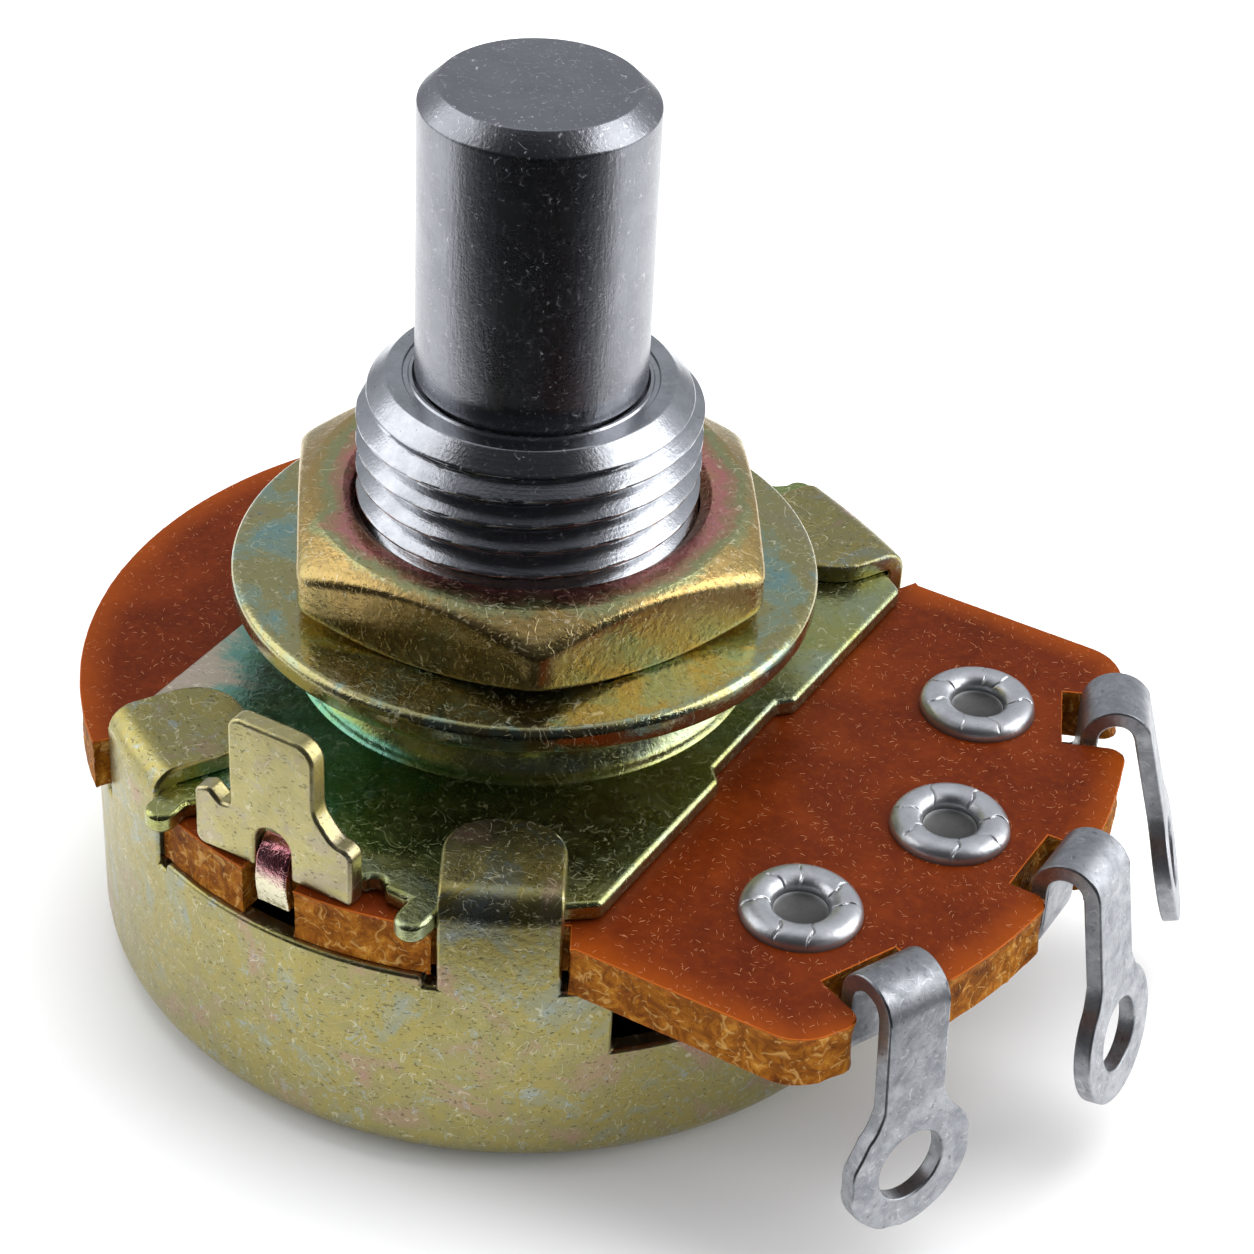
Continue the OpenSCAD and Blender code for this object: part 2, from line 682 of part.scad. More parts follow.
// Spring plate on the rotor with fingers that reach the track and the collector ring
module wiper() {
    reach = print_z - wiper_gap;
    color("#c8a860") {
        translate([0, 0, rotor_top]) linear_extrude(wiper_t) difference() {
            union() {
                circle(hub_r + 0.9);
                translate([-wiper_half, 0]) square([2 * wiper_half, track_r]);
            }
            circle(hub_r - 0.6);
            translate([-0.15, hub_r + 1]) square([0.3, track_r]);
        }
        for (x = [-finger_x, finger_x]) translate([x, 0, rotor_top + wiper_t / 2]) {
            translate([-0.5, track_r - wiper_t, 0]) cube([1, wiper_t, reach - rotor_top - wiper_t / 2]);
            translate([-0.5, collector_r - wiper_t, 0]) cube([1, wiper_t, reach - rotor_top - wiper_t / 2]);
        }
    }
}

module friction_washer() {
    color("#c2a455") translate([0, 0, friction_z]) difference() {
        cylinder(r = neck_r + stake_w - 0.1, h = friction_t);
        translate([0, 0, -1]) cylinder(r = journal_r + 0.05, h = friction_t + 2);
    }
}

module retaining_ring() {
    color("#8d8f93") translate([0, 0, clip_z]) linear_extrude(clip_t) difference() {
        circle(journal_r + 1.1);
        circle(clip_groove_r + 0.05);
        translate([-clip_groove_r * 0.8, -2 * journal_r]) square([clip_groove_r * 1.6, 2 * journal_r]);
    }
}

module stop_washer() {
    color("#9a9c9f") translate([0, 0, stop_z]) linear_extrude(stop_t) difference() {
        union() {
            circle(hub_r);
            translate([-stop_half_w, 0]) square([2 * stop_half_w, stop_out_r - 0.15]);
        }
        key_hole();
    }
}

rear_case();
front_plate();
bushing();
shaft();
hex_nut();
flat_washer();
wafer();
terminal_1();
terminal_2();
terminal_3();
eyelet_1();
eyelet_2();
eyelet_3();
resistive_track();
collector_ring();
track_contact_1();
track_contact_3();
rotor();
wiper();
friction_washer();
retaining_ring();
stop_washer();
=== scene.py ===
"""Studio picture of a panel-mount rotary potentiometer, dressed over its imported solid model."""

import math
import random

import bmesh
import bpy
from mathutils import Matrix, Vector, noise as ripple


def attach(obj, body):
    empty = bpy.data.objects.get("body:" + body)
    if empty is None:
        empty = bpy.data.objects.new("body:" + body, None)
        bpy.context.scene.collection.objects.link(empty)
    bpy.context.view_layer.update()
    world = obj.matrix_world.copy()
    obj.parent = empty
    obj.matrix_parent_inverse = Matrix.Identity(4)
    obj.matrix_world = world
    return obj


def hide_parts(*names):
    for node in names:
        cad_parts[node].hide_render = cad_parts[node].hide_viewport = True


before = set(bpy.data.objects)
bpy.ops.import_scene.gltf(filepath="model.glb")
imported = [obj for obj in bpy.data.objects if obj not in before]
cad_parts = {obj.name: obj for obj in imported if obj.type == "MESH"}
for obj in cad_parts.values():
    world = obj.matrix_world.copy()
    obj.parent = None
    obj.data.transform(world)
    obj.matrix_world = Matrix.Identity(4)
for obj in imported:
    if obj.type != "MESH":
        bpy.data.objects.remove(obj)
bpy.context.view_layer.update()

MM = 0.001

# Sizes in millimetres, the same as in the solid model
SHAFT_R = 3.175
SHAFT_BORE_R = 3.015
THREAD_R = 4.7625
THREAD_PITCH = 0.79375
THREAD_DEPTH = 0.46
FIRST_CREST_Z = 17.0
CASE_R = 12.2
CASE_T = 0.6
CASE_H = 6.72
CASE_ROUND = 1.1
CASE_FOLD_R = 0.25
WAFER_Z = 6.72
WAFER_T = 1.6
WAFER_R = 12.63
WAFER_HOLE_R = 4.2
BOARD_R = 17.4
BOARD_HALF = 9.9
BOARD_CORNER = 1.4
PLATE_T = 0.6
PLATE_Z = WAFER_Z + WAFER_T
PLATE_TOP = PLATE_Z + PLATE_T
BOSS_R = 6.48
BOSS_TOP = PLATE_TOP + 2.37
MOUTH_Z = BOSS_TOP + 6.67
SHAFT_TOP = MOUTH_Z + 8.6
WASHER_R = 8.25
WASHER_T = 0.73
NUT_Z = BOSS_TOP + WASHER_T
NUT_H = 2.34
NUT_AF = 12.7
NUT_ANGLE = 4.4
END_R = CASE_R - 0.15
FOLD_Y = CASE_R - 1.05
TAB_CUT_R = CASE_R - CASE_T - 0.05
TABS = [(-60.5, 3.3), (-119.5, 3.3), (63.2, 4.41), (116.8, 4.41)]
TAB_REACH = 3.5
PLATE_FRONT = 7.8
PLATE_REAR = 7.25
EAR_R = 0.45
EAR_Y = CASE_R - EAR_R - 0.05
LUG_EAR_X = 4.0
FAR_EAR_X = 2.73
WINDOW_HALF = 8.78
WINDOW_Z = 4.2
LUG_X = -0.35
LUG_T = 0.6
TONGUE_W = 1.1
TONGUE_T = 0.36
TERM_ANGLES = [-24.0, 0.0, 24.0]
TERM_W = 2.0
TERM_T = 0.5
ARCH_FOOT = [16.05, 16.6, 16.05]
LEG_LEAN = [4.0, 9.5, 15.0]
ARCH_R = 1.0
LEG_LEN = 4.95
RING_R = 2.0
RING_HOLE_R = 1.05
EYELET_AT = [13.1, 13.7, 13.1]
EYELET_HEAD_R = 1.65
EYELET_BORE_R = 0.75
EYELET_HEAD_H = 0.44
RIVET_HOLE_R = 1.05


def linear(hex_colour):
    """An sRGB hex colour as Blender's linear values."""
    values = [int(hex_colour[i:i + 2], 16) / 255 for i in (1, 3, 5)]
    return [v / 12.92 if v <= 0.04045 else ((v + 0.055) / 1.055) ** 2.4 for v in values] + [1.0]


def add(tree, kind, links=None, **settings):
    """Adds a node, sets its properties, and fills or links its input sockets by name or number."""
    made = tree.nodes.new(kind)
    for name, value in settings.items():
        setattr(made, name, value)
    for key, value in (links or {}).items():
        socket = made.inputs[key]
        if isinstance(value, bpy.types.NodeSocket):
            tree.links.new(value, socket)
        else:
            socket.default_value = value
    return made


def colour_steps(tree, factor, steps):
    """A colour ramp that eases between the given positions and hex colours."""
    ramp = add(tree, "ShaderNodeValToRGB", {"Fac": factor})
    ramp.color_ramp.interpolation = "EASE"
    elements = ramp.color_ramp.elements
    while len(elements) > 1:
        elements.remove(elements[-1])
    elements[0].position = steps[0][0]
    elements[0].color = linear(steps[0][1])
    for position, hex_colour in steps[1:]:
        elements.new(position).color = linear(hex_colour)
    return ramp.outputs["Color"]


def material(name):
    """An empty material with its surface shader and Object coordinates in millimetres."""
    made = bpy.data.materials.new(name)
    made.use_nodes = True
    tree = made.node_tree
    shader = tree.nodes["Principled BSDF"]
    place = add(tree, "ShaderNodeTexCoord").outputs["Object"]
    scaled = add(tree, "ShaderNodeMapping", {"Vector": place, "Scale": (1000, 1000, 1000)})
    return made, tree, shader, scaled.outputs["Vector"]


def noise(tree, place, scale, detail=4.0, rough=0.5, distortion=0.0):
    """The factor of a noise whose features are about one millimetre divided by the scale."""
    made = add(tree, "ShaderNodeTexNoise", {
        "Vector": place, "Scale": scale, "Detail": detail, "Roughness": rough, "Distortion": distortion})
    return made.outputs["Fac"]


def between(tree, value, low, high, to_low=0.0, to_high=1.0):
    """Maps a value from one range to another, clamped."""
    made = add(tree, "ShaderNodeMapRange", {
        "Value": value, "From Min": low, "From Max": high, "To Min": to_low, "To Max": to_high})
    return made.outputs["Result"]


def calc(tree, operation, a, b=0.0):
    """One step of arithmetic."""
    return add(tree, "ShaderNodeMath", {0: a, 1: b}, operation=operation).outputs[0]


def mix(tree, factor, a, b):
    """Mixes two colours."""
    made = add(tree, "ShaderNodeMix", data_type="RGBA", blend_type="MIX")
    for key, value in ((0, factor), (6, a), (7, b)):
        if isinstance(value, bpy.types.NodeSocket):
            tree.links.new(value, made.inputs[key])
        else:
            made.inputs[key].default_value = value
    return made.outputs[2]


def greater(tree, a, b):
    """The greater of two numbers."""
    return calc(tree, "MAXIMUM", a, b)


def away_from_axis(tree, place):
    """The distance from the axis of the shaft."""
    flat = add(tree, "ShaderNodeVectorMath", {0: place, 1: (1, 1, 0)}, operation="MULTIPLY").outputs[0]
    return add(tree, "ShaderNodeVectorMath", {0: flat}, operation="LENGTH").outputs["Value"]


def parts_of(tree, vector):
    """The X, Y and Z of a vector."""
    return add(tree, "ShaderNodeSeparateXYZ", {0: vector}).outputs


def hair_lines(tree, place, scale, width, shown):
    """Short curved lines: the level lines of a noise, kept only in patches."""
    level = noise(tree, place, scale, 1.0, 0.4, 0.6)
    near = calc(tree, "ABSOLUTE", calc(tree, "SUBTRACT", level, 0.5))
    line = between(tree, near, 0.0, width, 1.0, 0.0)
    patch = noise(tree, place, scale * 2.3, 1.0)
    return calc(tree, "MULTIPLY", line, between(tree, patch, shown, shown + 0.05))


def moved(tree, place):
    """The same coordinates moved and turned, so that a second pattern doesn't follow the first."""
    shifted = add(tree, "ShaderNodeMapping", {
        "Vector": place, "Location": (31.0, 17.0, 5.0), "Rotation": (0, 0, 1.1)})
    return shifted.outputs["Vector"]


def surface_bump(tree, shader, height, distance, strength):
    """Feeds a height to the shader's normal."""
    made = add(tree, "ShaderNodeBump", {"Height": height, "Distance": distance, "Strength": strength})
    tree.links.new(made.outputs["Normal"], shader.inputs["Normal"])


def chromated_zinc(name, steps, roughness, fleck, pit, grain=0.5, drift=None, spread=0.4):
    """Yellow chromate over zinc plate: a metal whose thin film drifts between gold, green and pink.

    fleck and pit are how strongly these show. drift turns the place in millimetres into a number
    from 0 to 1 that leads the film across the piece. spread is one over the width of a patch of
    the film in millimetres."""
    made, tree, shader, place = material(name)
    broad = noise(tree, place, spread, 6.0, 0.66, 0.6)
    if drift:
        led = calc(tree, "MULTIPLY", drift(tree, place), 0.45)
        broad = calc(tree, "ADD", calc(tree, "MULTIPLY", broad, 0.55), led)
    colour = colour_steps(tree, broad, steps)
    # Pale blue-grey flecks of bare zinc, up to a millimetre across
    fleck_place = noise(tree, place, 1.6, 7.0, 0.85, 0.8)
    flecks = between(tree, fleck_place, 0.57, 0.62, 0.0, fleck)
    colour = mix(tree, flecks, colour, linear("#a2b0b2"))
    # Short dark pits about a tenth of a millimetre long
    dashes = add(tree, "ShaderNodeMapping", {
        "Vector": place, "Rotation": (0.4, 0.3, 0.5), "Scale": (6.0, 11.0, 12.0)})
    pits = between(tree, noise(tree, dashes.outputs["Vector"], 1.0, 1.0, 0.5), 0.66, 0.70, 0.0, pit)
    colour = mix(tree, pits, colour, linear("#3c3824"))
    long_lines = greater(tree, hair_lines(tree, place, 1.0, 0.007, 0.50),
                         hair_lines(tree, moved(tree, place), 1.3, 0.007, 0.52))
    lines = greater(tree, long_lines, hair_lines(tree, moved(tree, place), 2.6, 0.014, 0.50))
    colour = mix(tree, calc(tree, "MULTIPLY", lines, 0.40), colour, linear("#ece8d2"))
    tree.links.new(colour, shader.inputs["Base Color"])
    # The lines scatter light, so that they show in dark reflections too
    metal_share = calc(tree, "SUBTRACT", 1.0, calc(tree, "MULTIPLY", lines, 0.25))
    tree.links.new(metal_share, shader.inputs["Metallic"])
    rough = between(tree, noise(tree, place, 1.3, 4.0, 0.6), 0.3, 0.7, roughness - 0.05, roughness + 0.08)
    tree.links.new(rough, shader.inputs["Roughness"])
    fine = noise(tree, place, 5.0, 3.0, 0.6)
    height = calc(tree, "SUBTRACT", calc(tree, "ADD", fine, calc(tree, "MULTIPLY", lines, 0.15)), pits)
    surface_bump(tree, shader, height, 0.03 * MM, grain)
    return made


def along_x(tree, place):
    """0 on the rear side of the plate, and 1 on the terminal side, on the ears and up the boss."""
    axes = parts_of(tree, place)
    outwards = calc(tree, "SUBTRACT", -10.0, axes["Y"])
    upwards = calc(tree, "MULTIPLY", calc(tree, "SUBTRACT", axes["Z"], PLATE_TOP + 0.15), 3.0)
    past = greater(tree, greater(tree, outwards, upwards), 0.0)
    return between(tree, calc(tree, "ADD", axes["X"], calc(tree, "MULTIPLY", past, 9.0)), -8.0, 8.0)


def off_axis(tree, place):
    """0 at the thread and 1 at the outer edge of the nut."""
    return between(tree, away_from_axis(tree, place), 4.8, 7.0)


def up_tongue(tree, place):
    """0 at the free end of the tongue and 1 in the window of the lug."""
    return between(tree, parts_of(tree, place)["Z"], PLATE_TOP - 1.1, PLATE_TOP - 0.2)


# Pale khaki chromate of the case, with pink patches and grey-blue flecks
case_zinc = chromated_zinc("chromated_zinc_case", [
    (0.28, "#ac857a"), (0.38, "#a69272"), (0.46, "#9c9564"), (0.53, "#a4985c"),
    (0.60, "#9b9976"), (0.68, "#949b90"), (0.78, "#a7877c")],
    roughness=0.31, fleck=0.6, pit=0.45, grain=0.4)
# The same chromate on the lug, a little paler and more even
lug_zinc = chromated_zinc("chromated_zinc_lug", [
    (0.34, "#b4ad7e"), (0.48, "#bcb27c"), (0.60, "#b4a98a"), (0.70, "#b49d92")],
    roughness=0.34, fleck=0.35, pit=0.4, grain=0.3)
# Pink film inside the bend of the tongue, where the chromate stayed thick
tongue_zinc = chromated_zinc("chromated_zinc_tongue", [
    (0.40, "#dcd6b8"), (0.52, "#dabcae"), (0.64, "#d6949a"), (0.80, "#cc7884")],
    roughness=0.20, fleck=0.1, pit=0.2, grain=0.8, drift=up_tongue)
# Greener, smoother chromate of the cover plate that turns teal where the film is thin
plate_zinc = chromated_zinc("chromated_zinc_plate", [
    (0.20, "#d8c4b2"), (0.30, "#c8bba4"), (0.38, "#78a898"), (0.44, "#6a9c7c"),
    (0.53, "#8ca060"), (0.64, "#a6a868"), (0.78, "#a2ae90")],
    roughness=0.25, fleck=0.08, pit=0.2, drift=along_x, spread=0.28)
# Golden chromate of the nut: gold at the thread, then a pink and an olive ring, then gold again
nut_zinc = chromated_zinc("chromated_zinc_nut", [
    (0.22, "#c8a27c"), (0.30, "#cc9878"), (0.37, "#d08a84"), (0.44, "#b89676"),
    (0.49, "#a2a476"), (0.57, "#b89c62"), (0.74, "#ac9a64")],
    roughness=0.25, fleck=0.12, pit=0.3, grain=0.6, drift=off_axis, spread=0.28)
# Olive and blue-green chromate of the washer
washer_zinc = chromated_zinc("chromated_zinc_washer", [
    (0.30, "#88aaa4"), (0.40, "#9cac94"), (0.50, "#a8a270"), (0.60, "#a8a078"), (0.70, "#8eaea4")],
    roughness=0.19, fleck=0.12, pit=0.3, grain=0.4)


def turned_metal(name, hex_colour, dark, roughness, uneven, marks_scale, hair_share):
    """Bright metal turned on a lathe: fine marks, specks and short pale hair scratches.

    marks_scale stretches the marks: large in Z for rings, large in X and Y for an upright grain.
    Turning marks are finer than this on the real part and are drawn coarser, so that they show."""
    made, tree, shader, place = material(name)
    cloud = noise(tree, place, 1.1, 5.0, 0.65)
    colour = mix(tree, between(tree, cloud, 0.35, 0.7), linear(hex_colour), linear(dark))
    specks = between(tree, noise(tree, place, 8.0, 2.0, 0.6), 0.68, 0.75, 0.0, 0.4)
    colour = mix(tree, specks, colour, linear("#3a3b3e"))
    long_hairs = hair_lines(tree, place, 1.1, 0.005, 0.57)
    short_hairs = hair_lines(tree, moved(tree, place), 3.4, 0.018, 0.56)
    hairs = calc(tree, "MULTIPLY", greater(tree, long_hairs, short_hairs), hair_share)
    colour = mix(tree, hairs, colour, linear("#dcdde0"))
    tree.links.new(colour, shader.inputs["Base Color"])
    metal_share = calc(tree, "SUBTRACT", 1.0, calc(tree, "MULTIPLY", hairs, 0.5))
    tree.links.new(metal_share, shader.inputs["Metallic"])
    rough = between(tree, cloud, 0.3, 0.7, roughness - uneven, roughness + uneven)
    tree.links.new(rough, shader.inputs["Roughness"])
    stretched = add(tree, "ShaderNodeMapping", {"Vector": place, "Scale": marks_scale})
    marks = noise(tree, stretched.outputs["Vector"], 1.0, 3.0, 0.6)
    grit = noise(tree, place, 11.0, 2.0, 0.6)
    height = calc(tree, "ADD", calc(tree, "MULTIPLY", marks, 0.8), calc(tree, "MULTIPLY", grit, 0.5))
    surface_bump(tree, shader, height, 0.014 * MM, 0.7)
    return made


# Grey turned aluminium of the shaft, darkened by handling, with an upright grain
shaft_metal = turned_metal(
    "turned_aluminium_shaft", "#8e9095", "#84868b",
    roughness=0.27, uneven=0.02, marks_scale=(9.0, 9.0, 1.6), hair_share=0.6)
# Brighter turned aluminium of the bushing, with rings round the axis
bushing_metal = turned_metal(
    "turned_aluminium_bushing", "#b4b6bb", "#9c9fa4",
    roughness=0.21, uneven=0.05, marks_scale=(0.15, 0.15, 9.0), hair_share=0.45)


def tinned_metal(name, hex_colour, dark, roughness, speck, foot_shade=0.0):
    """Tin plate on a stamped strip: satin grey with darker specks, with painted shade and a rougher
    finish low down.

    speck is how strongly the specks show, and the last number how dark the painted shade is."""
    made, tree, shader, place = material(name)
    cloud = noise(tree, place, 1.6, 5.0, 0.7, 0.3)
    colour = mix(tree, between(tree, cloud, 0.35, 0.65), linear(hex_colour), linear(dark))
    specks = between(tree, noise(tree, place, 5.0, 3.0, 0.7), 0.60, 0.70, 0.0, speck)
    colour = mix(tree, specks, colour, linear("#4c4e52"))
    scratch = hair_lines(tree, place, 1.8, 0.02, 0.50)
    colour = mix(tree, calc(tree, "MULTIPLY", scratch, 0.4), colour, linear("#e4e5e8"))
    # Painted shade: darker below a height just over the wafer's face, in the bore and at the foot of the
    # head, where the finish is also rougher
    foot_shade_and_dullness = between(tree, parts_of(tree, place)["Z"], PLATE_Z + 0.16, PLATE_Z, 0.0, foot_shade)
    colour = mix(tree, foot_shade_and_dullness, colour, linear("#5c5a56"))
    tree.links.new(colour, shader.inputs["Base Color"])
    shader.inputs["Metallic"].default_value = 1.0
    rough = between(tree, cloud, 0.3, 0.7, roughness - 0.05, roughness + 0.1)
    rougher = calc(tree, "ADD", rough, calc(tree, "MULTIPLY", foot_shade_and_dullness, 0.3))
    tree.links.new(rougher, shader.inputs["Roughness"])
    surface_bump(tree, shader, noise(tree, place, 6.0, 4.0, 0.6), 0.02 * MM, 0.4)
    return made


# Satin tin plate of the solder terminals
terminal_tin = tinned_metal(
    "tin_plate_terminals", "#aeb0b4", "#8c8f94", roughness=0.38, speck=0.5)
# Brighter tin plate of the rolled eyelets, with painted shade in the bore and at the foot of the head
eyelet_tin = tinned_metal(
    "bright_tin_eyelets", "#d8dadd", "#c2c4c8", roughness=0.36, speck=0.12, foot_shade=0.85)


def laminate(name):
    """Paper phenolic laminate: a red-brown resin face with pale lint, and fibrous golden cut edges."""
    made, tree, shader, place = material(name)
    cloud = noise(tree, place, 0.4, 5.0, 0.6, 0.3)
    face = colour_steps(tree, cloud, [(0.30, "#4a1906"), (0.50, "#561f07"), (0.70, "#662809")])
    mottle = noise(tree, place, 3.5, 4.0, 0.7)
    face = mix(tree, between(tree, mottle, 0.45, 0.75, 0.0, 0.35), face, linear("#7a340c"))
    # Painted glow: the face is made orange near the rim of the board, where light comes through the resin
    axes = parts_of(tree, place)
    away = away_from_axis(tree, place)
    inside = calc(tree, "MINIMUM", calc(tree, "SUBTRACT", BOARD_R, away),
                  calc(tree, "SUBTRACT", BOARD_HALF, calc(tree, "ABSOLUTE", axes["Y"])))
    round_part = calc(tree, "SUBTRACT", WAFER_R, away)
    on_board = between(tree, axes["X"], 7.0, 9.0)
    rim = calc(tree, "ADD", calc(tree, "MULTIPLY", inside, on_board),
               calc(tree, "MULTIPLY", round_part, calc(tree, "SUBTRACT", 1.0, on_board)))
    face = mix(tree, between(tree, rim, 0.0, 1.0, 0.55, 0.0), face, linear("#94440a"))
    # Cut edges show the paper: pale fibres on a golden brown ground
    clump = noise(tree, place, 1.6, 6.0, 0.75, 0.8)
    side = colour_steps(tree, clump, [
        (0.30, "#4a2405"), (0.44, "#764009"), (0.54, "#925712"), (0.62, "#aa7022"), (0.72, "#cc9a48")])
    fibres = greater(tree, hair_lines(tree, place, 1.3, 0.035, 0.48),
                     hair_lines(tree, moved(tree, place), 1.7, 0.030, 0.50))
    side = mix(tree, calc(tree, "MULTIPLY", fibres, 0.5), side, linear("#e2b468"))
    normal = add(tree, "ShaderNodeNewGeometry").outputs["True Normal"]
    facing = calc(tree, "ABSOLUTE", parts_of(tree, normal)["Z"])
    # Painted glow: the corner between the face and the cut is clear resin, painted orange for the light
    # that comes through it
    corner = between(tree, facing, 0.25, 0.55)
    colour = mix(tree, corner, side, linear("#a8561c"))
    colour = mix(tree, between(tree, facing, 0.80, 0.97), colour, face)
    tree.links.new(colour, shader.inputs["Base Color"])
    rough = between(tree, facing, 0.0, 1.0, 0.60, 0.32)
    tree.links.new(rough, shader.inputs["Roughness"])
    shader.inputs["Specular IOR Level"].default_value = 0.07
    cut_share = calc(tree, "SUBTRACT", 1.0, facing)
    cut_height = calc(tree, "MULTIPLY", cut_share, calc(tree, "ADD", clump, fibres))
    height = calc(tree, "ADD", calc(tree, "MULTIPLY", mottle, 0.35), cut_height)
    surface_bump(tree, shader, height, 0.08 * MM, 0.5)
    return made


wafer_laminate = laminate("paper_phenolic_laminate")


def plain_metal(name, hex_colour, roughness):
    """Bare metal of small inner parts, with a faint cloud in its colour."""
    made, tree, shader, place = material(name)
    cloud = noise(tree, place, 2.0, 4.0, 0.6)
    colour = mix(tree, between(tree, cloud, 0.3, 0.7, 0.0, 0.3), linear(hex_colour), linear("#6f6a60"))
    tree.links.new(colour, shader.inputs["Base Color"])
    shader.inputs["Metallic"].default_value = 1.0
    shader.inputs["Roughness"].default_value = roughness
    surface_bump(tree, shader, noise(tree, place, 8.0, 3.0), 0.01 * MM, 0.4)
    return made


def matt_solid(name, hex_colour, other, roughness):
    """Matt non-metal of inner parts: moulded phenolic and printed carbon."""
    made, tree, shader, place = material(name)
    cloud = noise(tree, place, 3.0, 5.0, 0.7)
    colour = mix(tree, between(tree, cloud, 0.35, 0.7), linear(hex_colour), linear(other))
    tree.links.new(colour, shader.inputs["Base Color"])
    shader.inputs["Roughness"].default_value = roughness
    surface_bump(tree, shader, noise(tree, place, 7.0, 4.0), 0.02 * MM, 0.5)
    return made


# Spring brass of the wiper and the friction washer
spring_brass = plain_metal("spring_brass_sheet", "#c8a860", 0.3)
# Bare spring steel of the retaining ring and the stop washer
spring_steel = plain_metal("spring_steel_sheet", "#8e9094", 0.35)
# Screen-printed silver of the track ends and the collector ring
silver_ink = plain_metal("printed_silver", "#cfcabc", 0.5)
# Screen-printed carbon of the track
carbon_ink = matt_solid("printed_carbon", "#211e1c", "#2c2826", 0.6)
# Pale paper fibres in the resin of the wafer
lint_paper = matt_solid("pale_paper_fibre", "#a5643c", "#c48a60", 0.6)
# Dark moulded phenolic of the rotor
moulded_phenolic = matt_solid("moulded_phenolic", "#2b2a29", "#353230", 0.45)


def new_piece(name, bm, look, sharp, bevel=0.0, steps=3):
    """Makes a scene object with smooth faces, creases sharper than an angle, and rounded edges.

    bevel is the width of the rounding in millimetres and steps its number of segments."""
    bmesh.ops.remove_doubles(bm, verts=bm.verts, dist=1e-7)
    bmesh.ops.recalc_face_normals(bm, faces=bm.faces)
    data = bpy.data.meshes.new(name)
    bm.to_mesh(data)
    bm.free()
    data.materials.append(look)
    piece = bpy.data.objects.new(name, data)
    bpy.context.scene.collection.objects.link(piece)
    data.shade_smooth()
    if bevel:
        rounding = piece.modifiers.new("edge_rounding", "BEVEL")
        rounding.width = bevel * MM
        rounding.segments = steps
        rounding.limit_method = "ANGLE"
        rounding.angle_limit = math.radians(sharp)
        rounding.use_clamp_overlap = False
        rounding.harden_normals = True
    else:
        data.set_sharp_from_angle(angle=math.radians(sharp))
    return piece


def grid_shell(rows, closed_rows=False, closed_columns=True):
    """A mesh of quads over rows of points in millimetres."""
    bm = bmesh.new()
    made = [[bm.verts.new(Vector(point) * MM) for point in row] for row in rows]
    row_pairs = list(zip(made, made[1:] + made[:1] if closed_rows else made[1:]))
    for low, high in row_pairs:
        count = len(low)
        for i in range(count if closed_columns else count - 1):
            j = (i + 1) % count
            corners = [low[i], low[j], high[j], high[i]]
            bm.faces.new(corners)
    return bm


def circle_row(radius, height, count):
    """Points round the Z axis at one radius and height."""
    angles = [2 * math.pi * k / count for k in range(count)]
    return [(radius * math.cos(angle), radius * math.sin(angle), height) for angle in angles]


def turned(profile, steps=180, shape=None):
    """A solid turned round the Z axis from a closed profile of radius and height.

    shape may move each point of the profile by its angle."""
    rows = []
    for radius, height in profile:
        row = []
        for k in range(steps):
            angle = 2 * math.pi * k / steps
            r, z = shape(radius, height, angle) if shape else (radius, height)
            row.append((r * math.cos(angle), r * math.sin(angle), z))
        rows.append(row)
    return grid_shell(rows, closed_rows=True)


def arc(centre, radius, start, end, steps=6):
    """Points on a circle between two angles in degrees, in the plane."""
    made = []
    for k in range(steps + 1):
        angle = math.radians(start + (end - start) * k / steps)
        made.append((centre[0] + radius * math.cos(angle), centre[1] + radius * math.sin(angle)))
    return made


def rounded(points, radii, steps=5):
    """A closed outline whose corners are rounded by the given radii."""
    made = []
    count = len(points)
    for i, (point, radius) in enumerate(zip(points, radii)):
        corner = Vector(point)
        before = Vector(points[i - 1]) - corner
        after = Vector(points[(i + 1) % count]) - corner
        if radius <= 0 or before.length < 1e-9 or after.length < 1e-9:
            made.append(tuple(corner))
            continue
        half = before.angle(after) / 2
        reach = min(radius / math.tan(half), before.length * 0.49, after.length * 0.49)
        size = reach * math.tan(half)
        start = corner + before.normalized() * reach
        end = corner + after.normalized() * reach
        bisector = (before.normalized() + after.normalized()).normalized()
        centre = corner + bisector * (size / math.sin(half))
        a0 = math.atan2(start.y - centre.y, start.x - centre.x)
        a1 = math.atan2(end.y - centre.y, end.x - centre.x)
        turn = (a1 - a0 + math.pi) % (2 * math.pi) - math.pi
        for k in range(steps + 1):
            angle = a0 + turn * k / steps
            made.append((centre.x + size * math.cos(angle), centre.y + size * math.sin(angle)))
    return made


def put_in_place(flat, place):
    """A new mesh with each point of the flat one moved to place(u, v, depth).

    Blender's tools leave points and faces in an order that differs from run to run, so both are
    sorted here, and each face starts at its first point."""
    points = sorted((v for v in flat.verts if v.link_faces), key=lambda v: [round(c, 4) for c in v.co])
    rank = {v: k for k, v in enumerate(points)}
    faces = []
    for face in flat.faces:
        around = [rank[v] for v in face.verts]
        first = around.index(min(around))
        faces.append(around[first:] + around[:first])
    bm = bmesh.new()
    placed = [bm.verts.new(Vector(place(v.co.x, v.co.y, -v.co.z)) * MM) for v in points]
    for around in sorted(faces):
        bm.faces.new([placed[k] for k in around])
    flat.free()
    return bm


